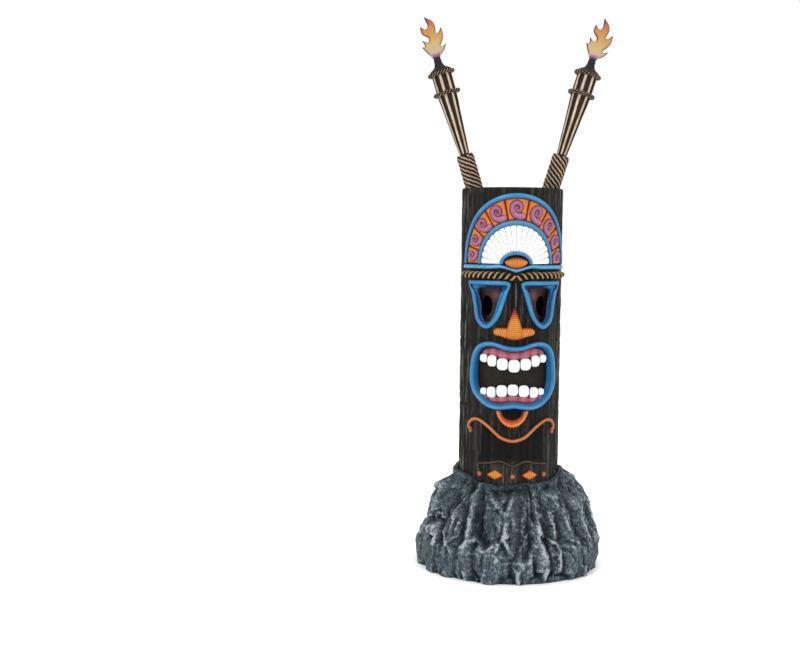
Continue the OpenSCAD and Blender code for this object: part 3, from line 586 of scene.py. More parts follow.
# A snail's middle line on a 76 mm tall tile, as (across, up, width).
snail_tile = 76
snail = curve([(28, -25, 26), (14, -26, 28), (1, -24, 27), (-11, -16, 24), (-17, -2, 21),
               (-14, 13, 20), (-2, 22, 19), (10, 17, 18), (14.5, 6, 17), (12, -3, 14),
               (5, -7.5, 12.5), (-2.5, -4.5, 11), (-4, 2, 10), (1, 6, 9.5), (3, 2, 7)])
snails = clay()
for k in range(9):
    middle_angle = (tile_joints[k] + tile_joints[k + 1]) / 2
    a, b = arch_toward(192.5, 221.5, middle_angle), arch_toward(137.5, 147.5, middle_angle)
    scale = (a - b).length / snail_tile
    up_tile = (a - b).normalized() * scale
    right_tile = Vector((up_tile.y, -up_tile.x))
    centre = (a + b) / 2
    eye = centre + up_tile * 2 - right_tile

    def coil(u, w):
        p = snail(u)
        t = snail(min(1, u + 0.01)) - snail(max(0, u - 0.01))
        across = Vector((-t.y, t.x)).normalized()
        side, up = over(w, 2.2)
        blunt = eased(u, -0.03, 0.03) * (1 - 0.5 * eased(u, 0.95, 1.02))
        q = Vector(p[:2]) + across * (p[2] / 2 * side * blunt)
        q = centre + right_tile * q.x + up_tile * q.y
        crest = max(0, up)
        # Painted highlight on the coil's crest and painted shade down its flanks, more on one side and
        # toward the inner turns.
        return (wrap(q.x, q.y, 5.2 + 4.8 * crest * (0.8 + 0.2 * u) + 2 * min(0, up)),
                0.04 + 0.86 * crest ** 2 * (1 - 0.22 * side) * (1 - 0.25 * u))

    def filling(u, w):
        a, r = math.tau * u, 15 * scale * w
        return (wrap(eye.x + r * math.cos(a), eye.y + r * math.sin(a), 4.5 + 3.0 * (1 - w * w)),
                0.22 + 0.2 * (1 - w))

    press(snails, 90, 14, coil)
    press(snails, 24, 5, filling)
mauve = paint("mauve_paint", ((0.0, (60, 14, 26)), (0.25, (112, 46, 72)), (0.55, (160, 88, 122)),
                              (0.8, (184, 116, 150)), (1.0, (208, 152, 182))),
              cloud=(18, 0.16), grain=(110, 0.14), tooth=0.5, rough=(0.5, 0.4), gloss=0.3)
show("tile_snails", snails, mauve, "mauve_paint", ["tile_spirals"])

fan = clay()
for k in range(18):
    first, last = -90 + 10 * k + 0.1, -80 + 10 * k - 0.1

    def place(u, w):
        t = first + (last - first) * u
        scallop = 1.5 - 3 * (2 * u - 1) ** 2
        inner = on_arch(55, 42, t)
        outer = on_arch(124 + scallop, 130.5 + scallop, t)
        p = inner + (outer - inner) * w
        crown = 1 - abs(2 * u - 1) ** 5
        # Painted highlight along each rib's crown; painted shade in the grooves between ribs.
        return wrap(p.x, p.y, (0.6 if at_edge(u, w) else 2.6) + 2.4 * crown), 0.1 + 0.9 * crown

    press(fan, 12, 24, place)
chalk = paint("fan_white", ((0.0, (140, 142, 150)), (0.25, (226, 228, 232)),
                            (0.5, (0.84, 0.85, 0.86, 1)), (1.0, (0.93, 0.93, 0.93, 1))),
              cloud=(10, 0.05), grain=(70, 0.05), tooth=0.15, rough=(0.5, 0.4), gloss=0.4)
show("fan", fan, chalk, "white_paint", ["fan_ribs"])

show("gem_arch_band", arch_strip(55.6, 42.6, 13, 11, 0, 90), azure, "blue_paint", ["gem_arch"])

gem = clay()


def gem_point(u, w):
    """A pointed boat shape, ribbed upright."""
    s = -38 + 76 * u
    wide = math.cos(math.asin(s / 38.2))
    side, up = over(w, 2.1)
    z = 1064 + 19 * wide * side - 1.5 * abs(s / 38) + 5 * min(0, side) * (1 - abs(s / 38))
    rib = 0.9 * math.cos(s * math.tau / 5.2) * wide
    h = 15 * up * (0.35 + 0.65 * wide) * (1 if up > 0 else 0.3) + (rib if up > 0.3 else 0)
    # Painted highlight along the crest and on the ribs; the upper side is painted darker.
    return (wrap(s, z, 0.5 + h),
            0.16 + 0.58 * max(0, up) - 0.72 * max(0, side) ** 1.3 + 0.22 * rib)


press(gem, 90, 26, gem_point)
show("gem", gem, tangerine, "orange_paint", ["forehead_gem"])

# ---- Brow ----------------------------------------------------------------------
# A blue band that dips to a V over the nose, and below it a thick rope laid from the
# middle outward both ways, painted dark with gold rubbed over the strands; the gold is also
# painted highlight, and the dark is also painted shade between them.
brow_reach, brow_height, rope_height = 214, 1056, 1019
brow_top = ((0, -16.5), (19, -13), (38, -6), (54, -1), (90, -3), (300, -3))
brow_bottom = ((0, -30), (16, -24), (34, -18), (54, -15), (90, -18), (300, -18))
brow = clay()


def brow_point(u, w):
    """The band follows its two edges and swells between them."""
    s = brow_reach * (2 * u - 1)
    a, b = reading(brow_top, abs(s)) + 1.0, reading(brow_bottom, abs(s))
    side, up = over(w)
    fade = 0.6 + 0.4 * eased(brow_reach - abs(s), 0, 8)
    z = brow_height + (a + b) / 2 + (a - b) / 2 * side * fade
    # Painted highlight along the band's crest; painted shade down its sides.
    return wrap(s, z, 0.5 + 10 * up * fade), 0.2 + 0.75 * max(0, up) ** 1.6


press(brow, 170, 18, brow_point)
show("brow", brow, azure, "blue_paint", ["brow_band"])


def strand(lump, along, around, centre, outward, thick, axis, full, yarns=0, lay=0.0, narrow=1.0):
    """Press one strand swept along centre(u); full is the distance in metres from the
    rope's axis(u) to its outside: painted shade toward the rope's core, painted highlight outside."""
    def place(u, w):
        c = centre(u)
        t = (centre(min(1, u + 0.002)) - centre(max(0, u - 0.002))).normalized()
        n = outward(u)
        n = (n - t * n.dot(t)).normalized()
        a = math.tau * w
        r = thick(u) * (1 + (0.07 * math.cos(yarns * a + lay * u) if yarns else 0))
        p = c + (n * math.cos(a) + t.cross(n) * math.sin(a)) * r
        out = (p - axis(u)).length / full
        groove = 0.14 * math.cos(yarns * a + lay * u) if yarns else 0
        # Painted highlight on the strand's outward side, narrowed by the power narrow.
        lit = max(0.0, math.cos(a)) ** narrow
        return p, kept(eased(out, 0.45, 1.02) * (0.35 + 0.65 * lit) + groove * lit)

    press(lump, along, around, place)


dip = ((0, -12), (20, -5.5), (48, -0.5), (300, 0))
brow_rope = clay()
for hand in (-1, 1):
    for k in range(2):
        def middle(u, hand=hand):
            s = 1 + 204 * u
            return wrap(hand * s, rope_height + reading(dip, s), 8.5)

        def centre(u, hand=hand, k=k):
            s = 1 + 204 * u
            a = math.tau * (s / 37 - (s / 37) ** 2 / 150 + k / 2)
            return wrap(hand * s, rope_height + reading(dip, s) + 5.6 * math.cos(a),
                        8.0 + 5.6 * math.sin(a))

        def outward(u, hand=hand, k=k):
            return centre(u, hand, k) - middle(u, hand)

        def thick(u):
            return (6.0 * eased(u, -0.04, 0.02) * (1 - 0.35 * eased(u, 0.975, 1.0))) * MM

        strand(brow_rope, 190, 12, centre, outward, thick, middle, 0.0119, 5, 60, narrow=1.8)
gilt = paint("gilt_rope", ((0.0, (10, 9, 6)), (0.42, (28, 22, 13)), (0.62, (74, 52, 24)),
                           (0.80, (186, 136, 62)), (1.0, (238, 200, 124))),
             cloud=(16, 0.10), grain=(120, 0.12), tooth=0.4, rough=(0.6, 0.45), gloss=0.35)
show("brow_cord", brow_rope, gilt, "rope", ["brow_rope"])

# ---- Eyes ----------------------------------------------------------------------
# A blue frame round each hollow, its walls sloping in to a maroon floor; an oval
# pupil is cut right through the floor, so that the dark inside of the log shows.
eye_floor = [(-46, 56), (52, 57), (56, 40), (54, 10), (48, -20), (38, -45), (22, -60), (8, -62),
             (-6, -52), (-18, -30), (-30, 5), (-42, 40)]


def toward(line, centre, aim):
    """How far from the centre, along aim, an outline lies."""
    for a, b in zip(line, line[1:] + line[:1]):
        a, b = Vector(a) - centre, Vector(b) - centre
        cross = aim.cross(b - a)
        if abs(cross) > 1e-9:
            t, k = a.cross(b - a) / cross, a.cross(aim) / cross
            if t > 0 and -1e-6 <= k <= 1 + 1e-6:
                return t
    return 0.0


def eye_spot(side, p, h):
    """A point p of the eye's outline plane, on its own side of the face, h mm up."""
    return wrap(side * (p.x + eye_across), p.y + eye_height, h)


eye_heart = Vector((2, 12))
# The socket's wall and back as (share of the way in, height off the bark, painted shade factor).
eye_wall = ((0, 0.5, 0.9), (0.12, -2.5, 1), (0.4, -9, 1.05), (0.7, -17, 0.95), (1, -25, 0.75),
            (1.04, -27, 0.4), (0.5, -20, 0.4), (-0.4, -7, 0.4))
maroon = paint("maroon_floor", ((0.0, (12, 6, 6)), (0.3, (44, 18, 16)), (0.55, (80, 36, 31)),
                                (0.8, (122, 72, 66)), (1.0, (170, 132, 128))),
               cloud=(12, 0.20), grain=(60, 0.12), tooth=0.3, rough=(0.55, 0.4))
for side, word in ((-1, "left"), (1, "right")):
    rim = clay()

    def place(u, w):
        a = eye_line(u)
        b = toward_core(a, 17)
        if w < 0.5:
            turn = math.pi * w / 0.5
            across = -softened(math.cos(turn), 2 / 2.8)
            up = abs(math.sin(turn)) ** (2 / 2.8)
            p = a + (b - a) * (across + 1) / 2
            # Painted highlight along the frame's crest, darker toward its inner edge.
            return (eye_spot(side, p, 0.5 + 10 * up),
                    0.2 + 0.6 * up ** 1.5 - 0.12 * eased(across, 0.3, 1))
        if w > 0.999:
            return eye_spot(side, a, 0.5), 0.2
        aim = (b - eye_heart).normalized()
        c = eye_heart + aim * toward(eye_floor, eye_heart, aim)
        # Painted shade under the frame's top edge; painted highlight on its upper outer wall.
        lit = (0.82 - 0.60 * eased(b.y, 46, 66) * eased(40 - b.x, 0, 40)
               + 0.14 * eased(b.x, 30, 62) * eased(b.y, -10, 30))
        inset, h, shade = eye_wall[min(7, int((w - 0.5) * 16))]
        return eye_spot(side, b + (c - b) * inset, h), lit * shade

    press(rim, 190, 33, place)
    show("eye_rim_" + word, rim, azure, "blue_paint", ["eye_frame_" + word])

    floor_lump = clay()

    def place(u, w):
        aim = Vector((-math.cos(math.tau * u), math.sin(math.tau * u)))
        pupil = Vector((15 + 25 * aim.x, -3 + 33 * aim.y))
        aim = (pupil - eye_heart).normalized()
        brink = eye_heart + aim * (toward(eye_floor, eye_heart, aim) + 2)
        if w < 0.6:
            k = w / 0.6
            p = brink + (pupil - brink) * k
            # Painted highlight on the floor's upper inner part and painted shade toward the pupil; the
            # pupil's walls and back are painted near black.
            pale = eased(30 - (p - Vector((-24, 32))).length, 0, 26)
            return (eye_spot(side, p, -24.6 - 1.5 * math.sin(math.pi * k)),
                    0.36 + 0.4 * pale - 0.2 * eased(k, 0.85, 1))
        if w > 0.999:
            return eye_spot(side, brink, -24.6), 0.05
        k = min(3, int((w - 0.6) * 10))
        return eye_spot(side, (pupil, pupil, brink, brink)[k], (-27, -33, -33, -28)[k]), 0.05

    press(floor_lump, 72, 26, place)
    show("eye_floor_" + word, floor_lump, maroon, "socket_paint", ["eye_socket_" + word])

# ---- Nose ----------------------------------------------------------------------
# A narrow ridge runs down between the eyes into an orange nose with a round bulb
# and two lobes, all combed with fine ridges; the ridge itself is bark-coloured.
nose = clay()
nose_widths = ((804, 10), (812, 22), (820, 27), (835, 28), (850, 24), (870, 18), (890, 12), (910, 5),
               (916, 2))
nose_heights = ((804, 8), (808, 22), (820, 34), (835, 33.5), (850, 30), (870, 26), (890, 18), (910, 12),
                (916, 4))


def nose_point(u, w):
    """One anchor shape: a bridge that widens to the bulb, and two wings beside it."""
    s, z = -72 + 144 * u, 800 + 116 * w
    blunt = math.sqrt(max(0.0, 1 - (max(0.0, abs(s) - 51) / 19) ** 2))
    foot = 798 + 15 * eased(abs(s), 6, 54)
    half = max(0.3, (843 - foot) / 2 * blunt)
    q = 1 - (abs(z - (843 + foot) / 2) / half) ** 2.2
    wings = 24 * q ** 0.5 * blunt ** 0.7 if q > 0 and blunt > 0.05 else -4.0
    wide, tall = reading(nose_widths, z), reading(nose_heights, z)
    bridge = tall * (1 - (abs(s) / wide) ** 2.3) ** 0.5 if abs(s) < wide and z > 803.5 else -4.0
    h = math.log(sum(math.exp(x / 2.0) for x in (wings, bridge, -2))) * 2.0 - 1
    central = eased(30 - abs(s), 0, 8) if z < 850 else 1.0
    comb = (central * math.cos(z * math.tau / 6.5 - 0.012 * s * s)
            + (1 - central) * math.cos((abs(s) - 0.25 * (z - 830)) * math.tau / 7.0))
    h = min(h, 34) + 0.9 * comb * eased(h, 2, 12)
    # Darker red toward the top and toward the bridge's sides; painted shade along the nose's foot.
    red = 0.42 * eased(z, 862, 905) + 0.16 * eased(abs(s) / wide, 0.6, 1.0) * central
    under = 0.18 * eased(818 - z, 0, 14)
    if at_edge(u, w):
        h = -3
    # Higher parts are paler as painted highlight, and the ridges are lighter than their grooves.
    return (wrap(s - 3, z, min(h, 36)),
            kept(0.10 + 0.60 * eased(h, 0, 22) + 0.22 * comb - red - under, 0.02))


press(nose, 110, 96, nose_point)
hidden = [f for f in nose.faces if all(v.co.xy.length < 0.1746 for v in f.verts)]
bmesh.ops.delete(nose, geom=hidden, context="FACES")
show("nose", nose, tangerine, "orange_paint", ["nose"])

bridge = clay()


def bridge_point(u, w):
    """The thin crest between the eyes, with a painted highlight along its top."""
    z = 992 - 80 * u
    wide = reading(((912, 8), (940, 11), (970, 12), (992, 9)), z)
    high = reading(((912, 15), (940, 13.5), (970, 11), (992, 7)), z)
    a = math.tau * w
    side = math.cos(a)
    up = max(0, math.sin(a)) * (1 - 0.55 * abs(side) ** 0.7)
    return (wrap(wide * side, z, 0.3 + high * up if math.sin(a) > 0 else -1),
            0.3 + 0.62 * eased(up, 0.6, 1.0))


press(bridge, 60, 20, bridge_point)
show("nose_crest", bridge, bark, "log", ["nose_bridge"])

# ---- Mouth ---------------------------------------------------------------------
# A blue lip that runs on inward as the mouth's walls, pink gums along the top and
# bottom, and two rows of fat rounded teeth glued to the dark back.
lip = clay()
front_rows = 0.62
# The mouth's wall and back as (how far in, height off the bark, painted shading level), the walls
# painted pale as painted light.
lip_wall = ((16.8, -3, 0.66), (18.5, -11, 0.74), (20.5, -24, 0.66), (14, -25, 0.1), (11.5, -9, 0.1),
            (3, -2, 0.1))


def lip_point(u, w):
    """Round the lip: over the front, down the wall to the back, and home behind it."""
    a = mouth_line(u) + Vector((0, mouth_height))
    t = mouth_line((u + 0.004) % 1) - mouth_line((u - 0.004) % 1)
    n = Vector((t.y, -t.x)).normalized()
    if w < front_rows:
        turn = math.pi * w / front_rows
        across = -softened(math.cos(turn), 2 / 2.5)
        up = math.sin(turn) ** (2 / 2.5)
        p = a + n * (8 + 8 * across)
        # Painted highlight along the lip's crest and its inner edge.
        return (wrap(p.x, p.y, 0.5 + 11 * up - 2 * eased(across, 0.6, 1)),
                0.22 + 0.6 * up ** 1.5 + 0.22 * eased(across, 0.7, 1))
    inset, h, shade = 0, 0.5, 0.22
    if w < 0.999:
        inset, h, shade = lip_wall[min(5, int((w - front_rows) / (1 - front_rows) * 6))]
    p = a + n * inset
    return wrap(p.x * (1 + 0.09 * max(0, -h) / 24), p.y, h), shade


press(lip, 200, 32, lip_point)
show("lips", lip, azure, "blue_paint", ["mouth_frame"])

# Half of each row of teeth, as (left, right, top, bottom) from the middle of the mouth.
upper_row = ((-21.5, 21.5, 62, 17), (23, 64, 66, 24), (66, 101, 76, 35), (103, 133, 78, 48))
lower_row = ((-20, 20, -23, -63), (21.5, 61.5, -26, -68), (64, 99.5, -33, -72), (101.5, 127, -38, -64))


def tooth_row(row, shift):
    """Fat pillows, each with square shoulders rounded off."""
    lump = clay()
    whole = list(row) + [(-b, -a, c, d) for a, b, c, d in row if a > 0]
    for left, right, top, bottom in whole:
        def place(u, w):
            a = math.tau * w
            end = (1 - abs(2 * u - 1) ** 3.0) ** (1 / 3.0)
            side, up = softened(math.cos(a), 2 / 3.0), softened(math.sin(a), 2 / 2.3)
            s = shift + (left + right) / 2 + (right - left + 1.0) / 2 * (2 * u - 1)
            z = mouth_height + (top + bottom) / 2 + (top - bottom) / 2 * side * end
            h = -25 + 8 + 12.8 * max(up, -0.6) * (0.25 + 0.75 * end)
            # Painted highlight on each tooth's face; painted shade round its edges.
            return wrap(s, z, h), 0.04 + 0.96 * (max(0, up) * end) ** 1.1
        press(lump, 22, 24, place)
    return lump


def gum(edge, root, row, flip, reach):
    """Puffy flesh, swollen over the root of each tooth and drawn in between."""
    lump = clay()

    def place(u, w):
        s = -reach + 2 * reach * u
        a, b = reading(edge, abs(s)), reading(root, abs(s))
        swell = 0.0
        for left, right, _, _ in row:
            middle, half = (left + right) / 2, (right - left) / 2
            swell = max(swell, 1 - kept(abs(abs(s) - middle) / half) ** 2)
        side, up = over(w, 2.4)
        fade = eased(reach - abs(s), 0, 9)
        b += flip * (3.5 * (1 - swell) - 1)
        z = mouth_height + (a + b) / 2 + (a - b) / 2 * side * flip * (0.3 + 0.7 * fade)
        h = -25 + 12.5 * max(0, up) * (0.72 + 0.28 * swell) * (0.4 + 0.6 * fade)
        # Painted highlight on the gum's crest and over each tooth root; painted shade along the edge by
        # the lip.
        return (wrap(s, z, h), 0.12 + 0.55 * max(0, up) ** 1.4 + 0.28 * swell * max(0, up)
                - 0.25 * max(0, side * flip))

    press(lump, 190, 18, place)
    return lump


upper_gum_top = ((0, 92), (28, 94), (53, 100.5), (78, 105), (99, 104), (112, 99), (122, 92), (134, 81))
upper_gum_root = ((0, 55), (21, 56), (40, 58), (64, 61), (84, 68), (101, 70), (134, 71))
lower_gum_bottom = ((0, -88), (14, -88), (38, -91), (64, -92.5), (83, -90), (98, -84), (112, -76),
                    (127, -65))
lower_gum_root = ((0, -57), (20, -58), (40, -60), (63, -62), (99, -64), (127, -58))
rosy = paint("gum_pink", ((0.0, (50, 14, 22)), (0.3, (112, 42, 56)), (0.55, (165, 72, 92)),
                          (0.8, (196, 100, 116)), (1.0, (214, 130, 140))),
             cloud=(42, 0.26), grain=(90, 0.14), tooth=0.5, rough=(0.45, 0.34), gloss=0.4)
back_wood = paint("mouth_board", ((0.1, (14, 11, 8)), (0.42, (34, 28, 21)), (0.7, (66, 56, 38)),
                                  (0.95, (112, 98, 60))), cloud=(7, 0.22), grain=(70, 0.42),
                  stretch=(3, 3, 2), tooth=0.6, start=0.4, rough=(0.85, 0.7))
dress("mouth_back", back_wood)
show("gum_upper", gum(upper_gum_top, upper_gum_root, upper_row, 1, 134), rosy, "pink_paint",
     ["upper_gum"])
show("gum_lower", gum(lower_gum_bottom, lower_gum_root, lower_row, -1, 127), rosy, "pink_paint",
     ["lower_gum"])
enamel = paint("tooth_white", ((0.0, (64, 48, 46)), (0.18, (176, 172, 172)),
                               (0.45, (0.70, 0.71, 0.72, 1)), (0.9, (0.93, 0.93, 0.93, 1))),
               cloud=(12, 0.06), grain=(60, 0.05), tooth=0.15, rough=(0.4, 0.28), gloss=0.5)
show("teeth_upper", tooth_row(upper_row, 0), enamel, "white_paint", ["upper_teeth"])
show("teeth_lower", tooth_row(lower_row, -3), enamel, "white_paint", ["lower_teeth"])

# ---- Chin, beard and hem -------------------------------------------------------
# An orange crescent hangs under the mouth, a long curling scroll spreads below it,
# and along the bottom run a thin wavy ridge, two diamonds and three round studs.


def raised(path, wide, high, lump, along, n=2.3, carve=None):
    """Press a soft bar along path(u); wide(u) and high(u) are its size."""
    def place(u, w):
        p = path(u)
        t = path(min(1, u + 0.006)) - path(max(0, u - 0.006))
        across = Vector((-t.y, t.x)).normalized()
        side, up = over(w, n)
        q = Vector(p[:2]) + across * (wide(u) / 2 * side)
        cut = carve(u, side) if carve else 0.0
        # Painted highlight along the bar's crest and carved bumps; painted shade down its upper side.
        return (wrap(q.x, q.y, 0.4 + high(u) * up + cut * max(0, up)),
                kept(0.12 + 0.66 * max(0, up) ** 1.5 - 0.42 * eased(side, 0.25, 0.85)
                     + 0.14 * cut, 0.03))
    press(lump, along, 18, place)


inner_edge = curve([(-38, 0), (-34, -11), (-25, -21), (-13, -26.5), (0, -28), (13, -26.5), (25, -21),
                    (33, -11), (38, 0)])
outer_edge = curve([(-58, 0), (-52, -18), (-40, -37), (-22, -53), (0, -59), (22, -53), (40, -37),
                    (52, -18), (58, 0)])
chin = clay()


def chin_point(u, w):
    """From the toothed outer edge up to the crest and down the red inner wall."""
    a, b = outer_edge(u), inner_edge(u)
    side, up = over(w, 2.2)
    nick = 0.9 * math.cos(u * 34 * math.pi) * eased(-side, 0.1, 0.9)
    p = (a + b) / 2 - (a - b) / 2 * (side - (0.10 * nick if side < 0 else 0))
    fade = 0.5 + 0.5 * math.sin(math.pi * u) ** 0.4
    crest = max(0, up) * (1 + 0.1 * side)
    # Painted highlight along the crest and painted shade at the toothed outer edge; the inner wall is
    # painted darker red.
    return (wrap(p.x - 5, 559.5 + p.y, 0.4 + 7 * up * fade + 0.4 * nick * max(0, up)),
            kept(0.16 + 0.78 * crest ** 1.5 - 0.50 * eased(side, -0.35, 0.1)
                 - 0.3 * eased(-side, 0.35, 0.9) + 0.1 * nick, 0.03))


press(chin, 110, 20, chin_point)
show("chin", chin, tangerine, "orange_paint", ["chin_crescent"])



def both_ways(half, across, up):
    """A smooth line and its mirror image, joined at its first point and moved into place."""
    return curve([(across - x, up + y) for x, y in half[:0:-1]]
                 + [(across + x, up + y) for x, y in half])


def button(lump, s, z, radius, high, rings, dark, power):
    """Press a low round dome on the face."""
    def place(u, w):
        a, dome = math.tau * u, math.sqrt(max(0, 1 - w * w))
        # Painted highlight on the dome's top, darker toward its rim.
        return (wrap(s + radius * w * math.cos(a), z + radius * w * math.sin(a),
                     0.2 + high * dome if w < 0.999 else -1), dark + 0.62 * dome ** power)
    press(lump, 28, rings, place)


scroll = both_ways(scroll_half, -3, scroll_height)
beard = clay()
raised(scroll, lambda u: 15.5 * (0.95 + 0.30 * eased(abs(u - 0.5), 0.47, 0.5)),
       lambda u: 7.2 * (0.55 + 0.45 * eased(0.5 - abs(u - 0.5), 0, 0.02)), beard, 240)
russet = paint("russet_paint", ((0.0, (40, 18, 20)), (0.25, (96, 44, 40)), (0.5, (172, 84, 38)),
                                (0.72, (212, 122, 52)), (0.95, (232, 158, 78))),
               cloud=(14, 0.16), grain=(80, 0.14), tooth=0.4, rough=(0.6, 0.45), gloss=0.35)
for end in (scroll(0), scroll(1)):
    button(beard, end.x, end.y - 3, 9.5, 9, 9, 0.10, 1.5)
show("beard", beard, russet, "orange_paint", ["beard_scroll"])

ridge_half = [(0, 0), (17, 6.5), (33, 14), (52, 16), (75, 10), (95, 7), (112, 4.5), (125, 3)]
hem = clay()
raised(both_ways(ridge_half, 0, 371), lambda u: 9, lambda u: 4.4, hem, 150,
       carve=lambda u, side: 1.2 * noise.noise(Vector((u * 40, side, 2))))
hem_paint = paint("hem_brown", ((0.0, (10, 8, 6)), (0.35, (28, 22, 16)), (0.65, (52, 42, 31)),
                                (0.9, (112, 94, 72))), cloud=(12, 0.2), grain=(70, 0.2),
                  tooth=0.6, rough=(0.75, 0.55), gloss=0.3)
show("hem_line", hem, hem_paint, "log", ["hem_ridge"])

diamonds = clay()
for middle in (-61, 61):
    def place(u, w):
        s = -31 + 62 * u
        half = max(0.4, 18 * (1 - abs(s) / 31.5))
        side, up = over(w, 2.2)
        rib = 0.55 * math.cos(s * math.tau / 7.5)
        body = eased(half, 0, 9)
        h = 0.4 + (5 * up + rib * max(0, up)) * (0.3 + 0.7 * body)
        # Painted highlight along the diamond's crest and ribs, darker toward its edges.
        return (wrap(middle + s, 339 + half * side, h),
                max(0.03, 0.1 + 0.62 * max(0, up) * body + 0.2 * rib * max(0, up)))

    press(diamonds, 60, 18, place)
show("diamonds", diamonds, tangerine, "orange_paint", ["hem_diamonds"])

studs = clay()
for s, z in ((-120, 337), (0, 335), (120, 337)):
    button(studs, s, z, 10, 5, 8, 0.08, 1)
show("studs", studs, russet, "orange_paint", ["hem_studs"])

# ---- Torches -------------------------------------------------------------------
# Two garden torches stand in tubes in the top of the log and lift straight out.
# A dark cane pole carries a grip wound in rope, a basket of split bamboo between
# twisted rings, a black burner, and a flat moulded flame.
cane = paint("dark_cane", ((0.2, (14, 10, 8)), (0.5, (34, 26, 20)), (0.85, (70, 54, 40))),
             cloud=(10, 0.2), grain=(50, 0.25), stretch=(4, 4, 0.6), start=0.4, rough=(0.7, 0.5))
bamboo = paint("split_bamboo", ((0.0, (34, 20, 12)), (0.28, (110, 78, 50)), (0.5, (178, 146, 110)),
                                (0.72, (216, 192, 156)), (1.0, (246, 236, 218))),
               cloud=(9, 0.16), grain=(70, 0.34), stretch=(3, 3, 0.5), tooth=0.7, rough=(0.6, 0.45))
cord = paint("grip_cord", ((0.0, (10, 6, 4)), (0.42, (34, 22, 15)), (0.64, (84, 62, 46)),
                           (0.84, (160, 134, 110)), (1.0, (216, 192, 168))),
             cloud=(26, 0.14), grain=(170, 0.30), tooth=0.8, rough=(0.85, 0.7), gloss=0.2)
iron = paint("burner_black", ((0.0, (12, 10, 9)), (0.4, (30, 26, 23)), (0.8, (54, 47, 42)),
                              (1.0, (92, 84, 76))), cloud=(30, 0.34), grain=(80, 0.25),
             tooth=0.8, rough=(0.75, 0.55), gloss=0.3)
# A flame's outline in mm from the foot of its neck.
flame_tall = 147
flame_shape = [(-10, 0), (-16, 8), (-24, 21), (-33, 37), (-38, 50), (-30, 48), (-28, 56), (-32, 71),
               (-26, 68), (-18, 61), (-11, 62), (-8, 68), (-10, 76), (-18, 83), (-26, 92), (-28, 106),
               (-25, 118), (-20, 114), (-12, 106), (-3, 108), (0, 117), (-2, 130), (-4, 147), (5, 140),
               (15, 132), (23, 120), (25, 106), (22, 92), (20, 84), (24, 82), (33, 87), (41.4, 98),
               (44, 86), (43, 71), (36, 54), (27, 43), (25, 36), (32, 34), (39, 37.5), (45, 42),
               (40.5, 33), (34, 22), (24, 13), (15, 7), (11, 0)]
fire = paint("flame_resin", ((0.0, (112, 60, 96)), (0.07, (150, 96, 124)), (0.14, (212, 186, 168)),
                             (0.24, (216, 188, 130)), (0.45, (214, 168, 92)), (0.68, (212, 128, 56)),
                             (0.86, (194, 84, 62)), (0.93, (150, 60, 74)),
                             (0.97, (60, 28, 34)), (1.0, (30, 18, 20))),
             cloud=(22, 0.04), grain=(90, 0.03), tooth=0.3, rough=(0.42, 0.28), gloss=0.35)


def from_outline(p, line):
    """Distance from a point to a closed outline."""
    best = 1e9
    for a, b in zip(line, line[1:] + line[:1]):
        a, b = Vector(a), Vector(b)
        foot = a + (b - a) * kept((p - a).dot(b - a) / (b - a).length_squared)
        best = min(best, (foot - p).length)
    return best


